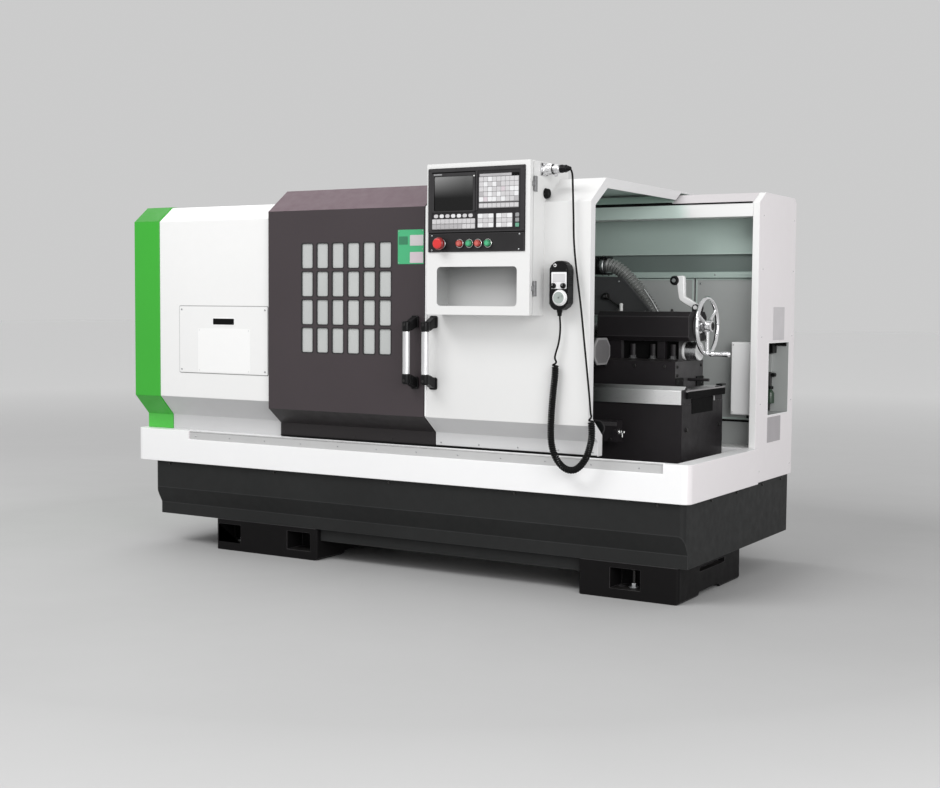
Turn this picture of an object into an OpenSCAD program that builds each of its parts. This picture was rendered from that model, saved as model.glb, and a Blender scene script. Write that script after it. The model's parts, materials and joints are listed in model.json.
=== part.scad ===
// CNC lathe with a flat bed, two sliding hoods, a chip tray and a dark base.
// X runs along the spindle, +X towards the tailstock end; -Y is the operator's
// side; +Z is up and Z = 0 is the floor. The origin is under the middle of the
// machine's outer box. The inner modules use a working frame whose X = 0 is the
// middle of the base and whose front base plane is y_front.

/* [Base and tray] */
// Length of the base skirt along X
base_len = 2640; // [2400:10:2800]
// Height of the top of the base skirt over the floor
base_top = 388; // [360:1:420]
// Height of the lower edge of the base skirt
base_bottom = 140; // [120:1:170]
// How far the lower skirt is set back from the upper skirt
base_setback = 42; // [20:1:60]
// Height of the tray's underside
tray_bottom = 392; // [370:1:430]
// Height of the tray's rim
tray_top = 540; // [500:1:580]
// How far the tray passes the base at the left end
tray_left_over = 94; // [20:1:120]
// How far the tray passes the base at the right end
tray_right_over = 26; // [10:1:60]

/* [Feet] */
// Width of the left foot
left_foot_w = 573; // [400:1:700]
// Width of the right foot
right_foot_w = 420; // [300:5:600]
// Depth of each foot
foot_depth = 659; // [500:1:800]
// Radius of an anchor hole
anchor_r = 11; // [8:0.5:14]

/* [Hoods] */
// Height of the hood roofs
hood_top = 1614; // [1500:1:1700]
// Height of the fold between hood front and top slope
hood_fold_top = 1518; // [1450:1:1560]
// Height of the upper edge of the lower chamfer
hood_fold_low = 668; // [640:1:700]
// Thickness of the folded hood wall
hood_t = 8; // [4:1:12]
// Left hood, left edge
left_hood_x0 = -595; // [-620:1:-560]
// Left hood, right edge
left_hood_x1 = 208; // [180:1:240]
// Right hood, left edge
right_hood_x0 = 213; // [190:1:260]
// Right hood, right edge
right_hood_x1 = 950; // [900:1:1000]
// Columns of windows
win_cols = 6; // [4:1:8]
// Rows of windows
win_rows = 4; // [3:1:6]

/* [Control box] */
// Left side of the box
box_x0 = 292; // [280:1:320]
// Right side of the box
box_x1 = 752; // [700:1:780]
// Underside of the box
box_z0 = 1085; // [1050:1:1120]
// Top of the box
box_z1 = 1670; // [1640:1:1700]

/* [Bed and tailstock] */
// Height of the spindle axis
axis_z = 1046; // [1000:1:1100]
// Position of the spindle axis across the machine
axis_y = -140; // [-160:1:-120]
// Top of the bed ways
way_top = 799; // [780:1:820]
// Radius of the tailstock handwheel
wheel_r = 120; // [90:1:140]
// Radius of the handwheel rim's tube
wheel_tube = 9; // [6:0.5:14]

/* [Hidden] */
ox = 34;
oy = 117.5;
xl = -base_len / 2;
xr = base_len / 2;
y_front = -607;
y_rear = 590;
y_low = y_front + base_setback;
tray_xl = xl - tray_left_over;
tray_xr = xr + tray_right_over;
tray_yf = -626;
yh = -668;
yh_low = -583;
cover_r = -545;
cab_yf = 120;
eps = 0.01;
white = [0.93, 0.93, 0.93];
dark = [0.26, 0.25, 0.26];
cast = [0.24, 0.23, 0.24];
green = [0.25, 0.68, 0.23];
grey_green = [0.55, 0.62, 0.59];
steel = [0.75, 0.76, 0.77];
black = [0.05, 0.05, 0.05];

// ---------- helpers ----------
// moves a piece from the working frame to the part's frame
module place() { translate([ox, oy, 0]) children(); }

// box between two corners
module bx(a, b) { translate(a) cube([b[0] - a[0], b[1] - a[1], b[2] - a[2]]); }

// outline in Y and Z drawn out along X from x0 to x1
module run_x(x0, x1) {
  translate([x0, 0, 0]) rotate([90, 0, 90]) linear_extrude(height = x1 - x0) children();
}

// outline in X and Z drawn out along Y from y0 to y1
module run_y(y0, y1) {
  translate([0, y1, 0]) rotate([90, 0, 0]) linear_extrude(height = y1 - y0) children();
}

// outline in X and Y drawn out along Z from z0 to z1
module run_z(z0, z1) {
  translate([0, 0, z0]) linear_extrude(height = z1 - z0) children();
}

// rounded rectangle between two corners
module rrect(a, b, r) {
  translate([a[0] + r, a[1]]) square([b[0] - a[0] - 2 * r, b[1] - a[1]]);
  translate([a[0], a[1] + r]) square([b[0] - a[0], b[1] - a[1] - 2 * r]);
  for (x = [a[0] + r, b[0] - r], y = [a[1] + r, b[1] - r])
    translate([x, y]) circle(r = r, $fn = 48);
}

// rod along X, Y or Z from one centre point over a length
module rod_x(c, r, l, fn = 48) { translate(c) rotate([0, 90, 0]) cylinder(r = r, h = l, $fn = fn); }
module rod_y(c, r, l, fn = 48) { translate(c) rotate([-90, 0, 0]) cylinder(r = r, h = l, $fn = fn); }
module rod_z(c, r, l, fn = 48) { translate(c) cylinder(r = r, h = l, $fn = fn); }

// smooth curve through points, n steps a span
function cr(a, b, c, d, t) = 0.5 * (2 * b + (c - a) * t
  + (2 * a - 5 * b + 4 * c - d) * t * t + (3 * b - a - 3 * c + d) * t * t * t);
function curve(p, n) = concat([for (i = [0:len(p) - 2], k = [0:n - 1])
  cr(p[max(i - 1, 0)], p[i], p[i + 1], p[min(i + 2, len(p) - 1)], k / n)],
  [p[len(p) - 1]]);
function unit(v) = v / norm(v);
function tang(q, i) = unit(q[min(i + 1, len(q) - 1)] - q[max(i - 1, 0)]);
// ring of points round a route point, the route lying close to a plane of X and Z
function ring(c, t, r, s) = let (b = unit(cross(t, [0, 1, 0])), a = cross(b, t))
  [for (k = [0:s - 1]) c + r * (cos(360 * k / s) * a + sin(360 * k / s) * b)];
// closed tube along a route
module tube(q, r, s) {
  m = len(q);
  pts = [for (i = [0:m - 1]) each ring(q[i], tang(q, i), r, s)];
  polyhedron(points = pts, faces = concat(
    [[for (k = [0:s - 1]) s - 1 - k]],
    [for (i = [0:m - 2], k = [0:s - 1]) let (k2 = (k + 1) % s)
      [i * s + k, i * s + k2, (i + 1) * s + k2, (i + 1) * s + k]],
    [[for (k = [0:s - 1]) (m - 1) * s + k]]));
}

// ---------- base ----------
module foot_windows(xs, w) {
  for (x = xs) {
    bx([x, y_low - 1, 38], [x + w, y_low + 110, 119]);
    bx([x, y_low + foot_depth - 110, 38], [x + w, y_low + foot_depth + 1, 119]);
  }
}
module foot(x0, w, xs, ww, holes) {
  difference() {
    intersection() {
      run_z(0, base_bottom) rrect([x0, y_low], [x0 + w, y_low + foot_depth], 14);
      run_y(y_low - 1, y_low + foot_depth + 1)
        polygon([[x0 + 8, 0], [x0, 8], [x0, base_bottom], [x0 + w, base_bottom], [x0 + w, 8], [x0 + w - 8, 0]]);
    }
    foot_windows(xs, ww);
    // shallow arch through the foot along X
    run_x(x0 - 1, x0 + w + 1) polygon([[-372, -1], [-352, 18], [-150, 18], [-118, -1]]);
    for (x = holes, y = [-500, 30]) rod_z([x, y, -1], anchor_r, 60);
  }
}
module base_skirt() color(dark) place() {
  intersection() {
    run_x(xl, xr) polygon([[y_front, base_top], [y_front, 269], [y_low, 193],
      [y_low, base_bottom], [y_rear, base_bottom], [y_rear, base_top]]);
    run_z(base_bottom - 1, base_top + 1) rrect([xl, y_front], [xr, y_rear], 24);
  }
  bx([xl + 12, y_front + 12, base_top - eps], [xr - 12, y_rear - 12, tray_bottom]);
  // cross beams between the feet
  for (y = [y_low + 25, 24])
    bx([-410, y, 86], [862, y + 60, base_bottom + eps]);
}
module left_foot() color(cast) place()
  foot(-985, left_foot_w, [-970, -576], 128, [-940]);
module right_foot() color(cast) place() difference() {
  foot(864, right_foot_w, [1000], 127, [1020]);
  bx([1284 - 30, -353, 96], [1290, -85, 116]);
}
module levelling_bolts() color(steel) place()
  for (x = [-876, 1078], y = [-507, 37]) {
    rod_z([x, y, 38], 17, 5);
    rod_z([x, y, 43 - eps], 13, 14, 6);
    rod_z([x, y, 57 - 2 * eps], 8, 12);
  }

// ---------- tray ----------
module chip_tray() color(white) place() difference() {
  run_z(tray_bottom, tray_top) union() {
    translate([0, 0]) rrect([tray_xl, tray_yf], [tray_xr, cab_yf], 34);
    translate([tray_xl, -100]) square([tray_xr - tray_xl, cab_yf + 100]);
  }
  bx([cover_r, tray_yf + 40, 415], [tray_xr - 68, cab_yf - 12, tray_top + 1]);
  bx([-1097, tray_yf - 1, 502], [1238, tray_yf + 26, tray_top + 1]);
}
module door_rail() color([0.72, 0.72, 0.72]) place()
  run_x(-1097, 1238) polygon([[tray_yf + 9, 502], [tray_yf + 9, 532],
    [tray_yf + 14, 538], [tray_yf + 26, 538], [tray_yf + 26, 502]]);

// ---------- headstock end ----------
module cover_outline(g) {
  polygon([[-565 - g, tray_top], [-565 - g, 607 - g * 0.4], [-650 - g, 697 - g * 0.4],
    [-650 - g, 1491 + g * 0.4], [-565 - g * 0.5, 1558 + g], [cab_yf, 1558 + g], [cab_yf, tray_top]]);
}
module headstock_cover() color(white) place() run_x(-1244, cover_r) cover_outline(0);
module headstock_end_cap() color(green) place() run_x(-1397, -1244) cover_outline(4);
module inspection_panel() color(white) place()
  difference() {
    run_y(-653, -650) rrect([-1122, 810], [-613, 1108], 6);
    run_y(-656, -649) rrect([-925, 1026], [-800, 1056], 4);
  }
module headstock() color(cast) place() {
  difference() {
    bx([cover_r, -330, way_top], [-470, 60, 1240]);
    vee(cover_r - 1, -469);
  }
  rod_x([-470 - eps, axis_y, axis_z], 95, 40, 96);
  rod_x([-430 - 2 * eps, axis_y, axis_z], 70, 20, 96);
}
module chuck() color(steel) place() difference() {
  union() {
    rod_x([-410, axis_y, axis_z], 125, 82, 128);
    for (a = [90, 210, 330]) translate([-328 - eps, axis_y, axis_z]) rotate([a, 0, 0]) {
      bx([0, 35, -19], [26, 118, 19]);
      bx([26 - eps, 35, -19], [52, 84, 19]);
    }
  }
  rod_x([-411, axis_y, axis_z], 26, 100, 64);
}

// ---------- bed ----------
module bed() color(cast) place() {
  run_x(cover_r, 1195) polygon([[-345, 415], [-345, 741], [-238, 741], [-238, 700],
    [-12, 700], [-12, 741], [90, 741], [90, 415]]);
  bx([1176, -238 - eps, 700 - eps], [1195, -12 + eps, 760]);
}
module bed_ways() color(steel) place() {
  run_x(cover_r, 1195) polygon([[-355, 741], [-355, way_top - 4], [-351, way_top], [-322, way_top],
    [-306, way_top + 12], [-290, way_top], [-250, way_top], [-250, 741]]);
  run_x(cover_r, 1195) polygon([[0, 741], [0, way_top], [88, way_top], [88, 741]]);
}
// clearance for the inverted V of the front way
module vee(x0, x1) run_x(x0, x1) polygon([[-324, way_top - 1], [-322, way_top], [-306, way_top + 12.4], [-290, way_top], [-288, way_top - 1]]);
module bed_end_cap() color(black) place() {
  bx([1195, -306, 762], [1202, 95, 790]);
  bx([1175, 62, 799], [1202, 110, 806]);
}
module carriage() color(cast) place() {
  // saddle on both ways, apron in front, cross slide on top
  difference() {
    bx([520, -430, way_top], [748, 108, 872]);
    vee(519, 749);
  }
  bx([520, -430, 640], [748, -385, way_top + eps]);
  run_x(560, 708) polygon([[-410, 872 - eps], [-392, 915], [-410, 915], [-410, 945], [88, 945], [88, 915], [70, 915], [88, 872 - eps]]);
  // lower front corner box that passes the hood's edge
  bx([748 - eps, -428, 590], [960, -385, 672]);
  rod_y([948, -436, 630], 9, 9);
}
module turret() color([0.45, 0.46, 0.46]) place() {
  // four-station tool post and the eight-sided drive cover beside it
  bx([575, -300, 945], [695, -180, 1085]);
  rod_z([635, -240, 1085 - eps], 32, 34);
  bx([600, -352, 985], [670, -300 + eps, 1035]);
  run_x(708, 850) polygon([[-423, 925], [-393, 895], [-312, 895], [-282, 925],
    [-282, 965], [-312, 995], [-393, 995], [-423, 965]]);
}
module turret_cover() color([0.25, 0.25, 0.25]) place() {
  run_y(0, 20) polygon([[545, 945], [545, 1252], [772, 1246], [902, 1108], [902, 1050], [772, 1050], [740, 945]]);
  run_y(20 - eps, 88) polygon([[570, 945], [570, 965], [700, 965], [700, 945]]);
  rod_y([700, -24, 1165], 5, 24 + eps);
}

// ---------- conduit between the cover and the bed's rear ----------
conduit = [[640, 56, 1296], [690, 56, 1298], [740, 56, 1274], [796, 56, 1224],
  [848, 56, 1164], [892, 56, 1100], [930, 56, 1030], [950, 56, 950], [952, 56, 880]];
module flexible_conduit() color([0.3, 0.31, 0.31]) place() tube(curve(conduit, 4), 30, 12);
module conduit_fittings() color(black) place() {
  difference() {
    rod_x([600, 56, 1296], 37, 46, 64);
    rod_x([630, 56, 1296], 31, 20, 64);
  }
  rod_x([580, 56, 1296], 20, 20 + eps);
  difference() {
    rod_z([952, 56, way_top], 38, 892 - way_top, 64);
    rod_z([952, 56, 872], 31, 30, 64);
  }
}

// ---------- tailstock ----------
module tailstock_base() color(cast) place() {
  difference() {
    union() {
      bx([782, -275, way_top], [1135, 17, 905]);
      run_x(800, 1120) polygon([[-230, 905 - eps], [-205, 912], [-205, 985], [-75, 985], [-75, 912], [-50, 905 - eps]]);
    }
    vee(781, 1136);
    // recess round the clamp bolts
    bx([868, -206, 911], [1118, -178, 984]);
  }
  for (x = [914, 1002, 1090]) rod_z([x, -192, 911 - eps], 11, 60);
  rod_x([1135 - eps, axis_y, 831], 6, 90);
}
module tailstock_body() color(cast) place() {
  difference() {
    run_x(772, 1172) polygon([[-235, 1003], [-217, 985], [-63, 985], [-45, 1003], [-45, 1083], [-65, 1103], [-215, 1103], [-235, 1083]]);
    rod_x([771, axis_y, axis_z], 42, 402, 96);
  }
  // ears and pin of the lock lever
  for (y = [axis_y - 27, axis_y + 21]) run_y(y, y + 6)
    polygon([[1156, 1095], [1156, 1120], [1160, 1130], [1172, 1134], [1184, 1130], [1186, 1118], [1180, 1095]]);
  rod_y([1170, axis_y - 27, 1120], 6, 54);
}
module tailstock_quill() color(steel) place() {
  // quill with live centre, rear screw hub and the low boss under it
  rod_x([700, axis_y, axis_z], 41.9, 474, 96);
  rod_x([668, axis_y, axis_z], 30, 32 + eps, 96);
  translate([668 + eps, axis_y, axis_z]) rotate([0, -90, 0]) cylinder(r1 = 22, r2 = 0.5, h = 46, $fn = 64);
  rod_x([1174 - eps, axis_y, axis_z], 22, 26, 64);
  rod_x([1200 - 2 * eps, axis_y, axis_z], 8.95, 16, 48);
  rod_x([1120, axis_y, 945], 36, 64, 64);
}
module handwheel() color(steel) place() translate([1212, axis_y, axis_z]) {
  rotate([0, 90, 0]) rotate_extrude($fn = 96) translate([wheel_r - wheel_tube, 0]) circle(r = wheel_tube, $fn = 24);
  difference() {
    union() {
      rod_x([-6, 0, 0], 24, 30, 64);
      for (a = [65, 185, 305]) rotate([a, 0, 0])
        translate([0, 0, 20]) cylinder(r1 = 9, r2 = 7, h = wheel_r - wheel_tube - 20, $fn = 32);
    }
    rod_x([-13, 0, 0], 9, 21, 48);
  }
  // crank handle on the rim
  rod_x([-2, 0, -wheel_r + wheel_tube], 6, 104);
  rod_x([14, 0, -wheel_r + wheel_tube], 11, 84);
}
module lock_lever() color(steel) place() translate([1170, axis_y, 1120]) difference() {
  union() {
    rod_y([0, -18, 0], 12, 36);
    run_y(-13, 13) polygon([[6, 10], [-7, -9], [-52, 14], [-74, 28], [-79, 40], [-91, 118], [-89, 126], [-62, 128], [-56, 122], [-53, 44], [-32, 34]]);
    rod_y([-96, -20, 108], 19, 40);
  }
  rod_y([0, -19, 0], 6.05, 38);
}
module clamp_lever() color(black) place() translate([700, -10, 1165]) {
  difference() {
    union() {
      rod_y([0, -12, 0], 12, 16);
      rotate([0, atan2(46, 74), 0]) {
        bx([0, -12, -5], [82, -5, 5]);
        translate([92, -9, 0]) sphere(r = 12, $fn = 32);
      }
    }
    rod_y([0, -15, 0], 5.05, 20);
  }
}

// ---------- rear cabinet ----------
module rear_cabinet() color(white) place() {
  // floor box, left side and back plate
  bx([xl, cab_yf, tray_bottom], [1300, y_rear, tray_top]);
  bx([xl, cab_yf, tray_top - eps], [xl + 20, y_rear, 1495]);
  bx([xl + 20 - eps, 570, tray_top - eps], [1300, y_rear, 1495]);
}
module top_beam() color(white) place() {
  run_x(xl, 1300) polygon([[cab_yf, 1495], [cab_yf, 1552], [195, 1597], [y_rear, 1597], [y_rear, 1495]]);
  // rail behind the hood roofs
  bx([xl + 40, 364, 1597 - eps], [1290, 374, 1606]);
}
module right_wing() color(white) place() {
  difference() {
    run_x(1300, 1329) polygon([[cab_yf, tray_bottom], [cab_yf, 1552], [195, 1597], [y_rear - 20, 1597], [y_rear, 1577], [y_rear, tray_bottom]]);
    bx([1299, 262, 668], [1330, 523, 973]);
  }
  // niche behind the window
  difference() {
    bx([1166, 258, 660], [1300 + eps, 531, 981]);
    bx([1174, 262, 668], [1301, 523, 973]);
  }
}
module back_wall() color(grey_green) place() {
  // upper panel, set-back band, two lower panels and the foot strip
  bx([cover_r, 240, 1346], [1300, 252, 1495]);
  bx([cover_r, 252 - eps, 1240], [1300, 258, 1346 + eps]);
  bx([cover_r, 240, 646], [1000, 252, 1246]);
  bx([1006, 240, 646], [1300, 252, 1246]);
  bx([cover_r, 252 - eps, 540], [1300, 258, 1246 + eps]);
}
module back_rail() color(grey_green) place()
  run_x(cover_r, 1300) polygon([[226, 1246.1], [226, 1266], [232, 1272], [251.9, 1272], [251.9, 1246.1]]);
module electrical_box() color(white) place()
  run_x(1200, 1300) polygon([[170, 676], [170, 973], [174, 977], [240, 977], [240, 672], [174, 672]]);
module lubricator() color([0.35, 0.36, 0.36]) place() {
  bx([1174, 300, 806], [1290, 344, 814]);
  rod_z([1260, 320, 712], 30, 94 + eps);
  rod_z([1260, 320, 814 - eps], 20, 20);
  bx([1174, 300, 814 - eps], [1182, 380, 900]);
}

// ---------- hoods ----------
function inner_off(d) = d * 0.62;
module hood_outline(d, ye) {
  // wall band of thickness d from the lower edge over the roof to ye
  difference() {
    polygon([[yh_low, 545], [yh_low, 601], [yh, hood_fold_low], [yh, hood_fold_top],
      [-537, hood_top], [ye, hood_top], [ye, 545]]);
    polygon([[yh_low + d, 544], [yh_low + d, 601 + inner_off(d)], [yh + d, hood_fold_low + inner_off(d)],
      [yh + d, hood_fold_top - inner_off(d) * 0.55], [-537 + d * 0.33, hood_top - d], [ye + 1, hood_top - d], [ye + 1, 544]]);
  }
}
module hood_shell(x0, x1, left_rib) {
  run_x(x0, x1) hood_outline(hood_t, 350);
  run_x(x1 - 8, x1) hood_outline(40, 105);
  // the right flange runs on over the beam's slope
  run_x(x1 - 8, x1) polygon([[105 - eps, hood_top - 40], [145, hood_top - 40], [198, hood_top - 8],
    [198, hood_top - 8 + eps], [105 - eps, hood_top - 8 + eps]]);
  if (left_rib) run_x(x0, x0 + 8) hood_outline(40, 105);
}
win_w = 61; win_h = 107; win_px = 80.2; win_pz = 118.7; win_x = -415; win_z = 1272;
module win(i, k, r) {
  rrect([win_x + i * win_px, win_z - k * win_pz], [win_x + i * win_px + win_w, win_z - k * win_pz + win_h], r);
}
module left_hood() color(dark) place() difference() {
  hood_shell(left_hood_x0, left_hood_x1, false);
  run_y(yh - 1, yh + hood_t + 1) for (i = [0:win_cols - 1], k = [0:win_rows - 1]) win(i, k, 8);
}
module left_hood_panes() color([0.6, 0.63, 0.63]) place()
  run_y(yh + 4, yh + hood_t) for (i = [0:win_cols - 1], k = [0:win_rows - 1]) win(i, k, 8);
module green_plate() color([0.2, 0.6, 0.4]) place()
  run_y(yh - 1.5, yh) rrect([79, 1287], [204, 1426], 3);
module right_hood() color(white) place() hood_shell(right_hood_x0, right_hood_x1, true);

// upright bar between two slanted brackets, centred at x
module handle(x) {
  rod_z([x, -735, 834], 15, 192);
  for (m = [0, 1]) translate([0, 0, m * 1860]) mirror([0, 0, m])
    run_x(x - 18, x + 18) polygon([[yh, 783], [yh, 824], [-700, 838], [-716, 844], [-752, 844], [-752, 806], [-736, 790], [-700, 783]]);
}
module left_handle() color(black) place() handle(166);
module right_handle() color(black) place() handle(256);

// ---------- control box ----------
module box_outline() {
  polygon([[-754, box_z0], [-754, box_z1], [-510, box_z1], [-470, box_z1 - 30], [-470, hood_top],
    [-537.1, hood_top + 0.2], [yh - 0.2, hood_fold_top + 0.1], [yh - 0.1, box_z0]]);
}
hinge_x = 760; hinge_y = -757;
module control_box() color(white) place() {
  run_x(box_x0, box_x0 + 8) box_outline();
  difference() {
    run_x(box_x1 - 8, box_x1) box_outline();
    // seat of the blind plug
    rod_x([box_x1 - 3, -659, 1551], 17, 5);
  }
  bx([box_x0 + 8 - eps, -754, box_z0], [box_x1 - 8 + eps, yh, box_z0 + 8]);
  run_x(box_x0 + 8 - eps, box_x1 - 8 + eps) polygon([[-754, box_z1 - 8], [-754, box_z1], [-510, box_z1],
    [-470, box_z1 - 30], [-470, hood_top], [-478, hood_top], [-478, box_z1 - 33], [-513, box_z1 - 8]]);
  // blind plug and the fixed knuckles of two hinges
  rod_x([box_x1 - 3, -659, 1551], 17, 11);
  for (z = [1159, 1554]) {
    for (k = [0, 38]) {
      rod_z([hinge_x, hinge_y, z + k], 4.5, 18);
      bx([box_x1 - eps, hinge_y, z + k], [hinge_x - 2, hinge_y + 22, z + k + 18]);
    }
    rod_z([hinge_x, hinge_y, z], 2, 56);
  }
}
module cable_connector() color(steel) place() {
  rod_x([box_x1, -677, 1640], 24, 6);
  rod_x([box_x1 + 6 - eps, -677, 1640], 19, 40);
  rod_x([box_x1 + 46 - 2 * eps, -677, 1640], 16, 32);
  rod_x([box_x1 + 78 - 3 * eps, -677, 1640], 11, 30.6);
}
module panel_door() color(white) place() {
  difference() {
    run_y(-781, -759) rrect([box_x0, box_z0], [box_x1, box_z1], 4);
    run_y(-782, -758) rrect([339, 1119], [697, 1271], 16);
    rod_y([estop_x, -782, 1360], 10, 14);
    for (x = button_x) rod_y([x, -782, 1360], 7, 14);
  }
  // pocket behind the opening
  difference() {
    run_y(-775, -690) rrect([331, 1111], [705, 1279], 24);
    run_y(-776, -698) rrect([339, 1119], [697, 1271], 16);
    bx([330, -782, 1110], [706, -759 - eps, 1280]);
  }
  // moving knuckle of each hinge, with a bored eye
  for (z = [1159, 1554]) difference() {
    union() {
      rod_z([hinge_x, hinge_y, z + 18.8], 4.5, 18.4);
      bx([box_x1 - 6, hinge_y - 10, z + 18.8], [hinge_x, hinge_y - 2.4, z + 37.2]);
    }
    rod_z([hinge_x, hinge_y, z + 10], 2.3, 40);
  }
}
estop_x = 364;
button_x = [448, 491, 530, 574];
module operator_panel() color([0.2, 0.2, 0.2]) place() {
  difference() {
    run_y(-784, -781) rrect([300, 1328], [732, 1652], 3);
    rod_y([estop_x, -785, 1360], 9, 5);
    for (x = button_x) rod_y([x, -785, 1360], 6, 5);
  }
  // key fields and button collars
  run_y(-786, -784 + eps) {
    rrect([530, 1490], [708, 1615], 3);
    rrect([319, 1413], [516, 1481], 3);
    rrect([524, 1417], [598, 1478], 3);
    rrect([606, 1417], [681, 1478], 3);
    rrect([690, 1417], [710, 1478], 3);
  }
  difference() {
    rod_y([estop_x, -790, 1360], 20, 6 + eps);
    rod_y([estop_x, -791, 1360], 9, 8);
  }
  for (x = button_x) difference() {
    rod_y([x, -789, 1360], 16.5, 5 + eps);
    rod_y([x, -790, 1360], 13.6, 5.5);
    rod_y([x, -785, 1360], 6, 3);
  }
}
module screen() color(black) place() run_y(-786, -784) rrect([328, 1486], [506, 1621], 4);
module estop_button() color([0.85, 0.1, 0.1]) place() {
  rod_y([estop_x, -800, 1360], 8, 28);
  translate([estop_x, -800 + eps, 1360]) rotate([90, 0, 0]) {
    cylinder(r = 24.5, h = 14, $fn = 64);
    translate([0, 0, 14 - eps]) cylinder(r1 = 24.5, r2 = 19, h = 11, $fn = 64);
  }
}
module push_button(i) {
  rod_y([button_x[i], -803, 1360], 12.6, 14.2);
  rod_y([button_x[i], -789, 1360], 5, 16);
}
module push_button_1() color([0.7, 0.15, 0.1]) place() push_button(0);
module push_button_2() color([0.1, 0.5, 0.3]) place() push_button(1);
module push_button_3() color([0.7, 0.15, 0.1]) place() push_button(2);
module push_button_4() color([0.1, 0.5, 0.3]) place() push_button(3);

// ---------- pendant and its cord ----------
module pendant_bracket() color(steel) place() {
  run_y(-671, yh) rrect([819, 1176], [873, 1262], 4);
  bx([827, -678, 1250], [865, -671 + eps, 1256]);
  bx([827, -678, 1188], [865, -671 + eps, 1194]);
}
module pendant_body() color(black) place() {
  run_y(-722, -678) polygon([[806, 1130], [806, 1262], [813, 1276], [823, 1282], [867, 1285],
    [879, 1276], [885, 1258], [885, 1134], [874, 1118], [856, 1107], [828, 1107], [815, 1116]]);
  // face plate, two selector knobs and the cord boss
  run_y(-724, -722 + eps) rrect([815, 1186], [880, 1250], 2);
  for (x = [825, 867]) rod_y([x, -733, 1198], 10, 9 + eps);
  rod_y([852, -724, 1153], 28, 2 + eps);
  rod_z([837, -696, 1092], 8, 15 + eps);
}
module pendant_dial() color(steel) place() {
  rod_y([852, -736, 1153], 26, 11.4);
  rod_y([864, -741, 1163], 3.5, 6);
}
route_a = [[862, -677, 1640], [868, -677, 1640], [877, -679, 1630], [881, -682, 1614], [883, -686, 1590], [886, -690, 1540],
  [889, -692, 1460], [892, -692, 1370], [900, -692, 1290], [912, -692, 1205],
  [926, -692, 1110], [938, -692, 1010], [950, -692, 910], [963, -692, 800], [972, -692, 700]];
route_b = [[972, -692, 700], [977, -692, 640], [967, -692, 585], [948, -692, 540], [915, -692, 506],
  [880, -692, 500], [846, -692, 518], [819, -692, 556], [805, -692, 605], [803, -692, 660], [806, -692, 730],
  [812, -692, 800], [820, -692, 860], [818, -692, 905]];
route_c = [[818, -692, 905], [822, -692, 935], [832, -693, 970], [838, -694, 1010], [840, -695, 1050], [837, -696, 1092]];
module cord_upper() color(black) place() tube(curve(route_a, 3), 4.5, 8);
module cord_coil() color(black) place() tube(curve(route_b, 2), 14, 12);
module cord_lower() color(black) place() tube(curve(route_c, 2), 4.5, 8);

base_skirt();
left_foot();
right_foot();
levelling_bolts();
chip_tray();
door_rail();
headstock_cover();
headstock_end_cap();
inspection_panel();
headstock();
chuck();
bed();
bed_ways();
bed_end_cap();
carriage();
turret();
turret_cover();
flexible_conduit();
conduit_fittings();
tailstock_base();
tailstock_body();
tailstock_quill();
rear_cabinet();
top_beam();
right_wing();
back_wall();
back_rail();
electrical_box();
lubricator();
left_hood();
left_hood_panes();
green_plate();
left_handle();
right_hood();
control_box();
cable_connector();
pendant_bracket();
pendant_body();
cord_upper();
cord_coil();
cord_lower();
right_handle();
panel_door();
operator_panel();
screen();
estop_button();
push_button_1();
push_button_2();
push_button_3();
push_button_4();
pendant_dial();
handwheel();
lock_lever();
clamp_lever();
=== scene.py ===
import bpy
import bmesh
import json
import math
from math import pi, sin, cos, radians
from mathutils import Vector, Matrix


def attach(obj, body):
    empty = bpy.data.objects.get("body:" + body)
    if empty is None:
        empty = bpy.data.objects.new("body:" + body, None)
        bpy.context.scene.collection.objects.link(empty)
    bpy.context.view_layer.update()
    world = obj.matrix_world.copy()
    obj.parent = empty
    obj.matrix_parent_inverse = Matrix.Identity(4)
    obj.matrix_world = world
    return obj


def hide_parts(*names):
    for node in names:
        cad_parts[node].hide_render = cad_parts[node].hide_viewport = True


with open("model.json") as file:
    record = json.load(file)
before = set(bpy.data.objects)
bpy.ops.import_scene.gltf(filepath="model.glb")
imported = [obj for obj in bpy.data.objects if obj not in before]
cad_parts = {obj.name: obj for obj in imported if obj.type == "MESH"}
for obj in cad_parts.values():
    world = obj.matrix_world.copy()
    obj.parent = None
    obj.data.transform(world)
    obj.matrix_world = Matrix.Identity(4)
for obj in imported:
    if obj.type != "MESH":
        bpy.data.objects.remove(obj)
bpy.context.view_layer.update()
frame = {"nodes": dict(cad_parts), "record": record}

BODY = {}
for _b, _v in frame["record"]["behaviour"]["bodies"].items():
    for _n in _v:
        BODY[_n] = _b
OX, OY = 34.0, 117.5


def P(x, y, z):
    """Working frame in millimetres to the row frame in metres."""
    return Vector(((x + OX) / 1000, (y + OY) / 1000, z / 1000))


TO_M = Matrix.Translation(Vector((OX / 1000, OY / 1000, 0))) @ Matrix.Scale(0.001, 4)

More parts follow.
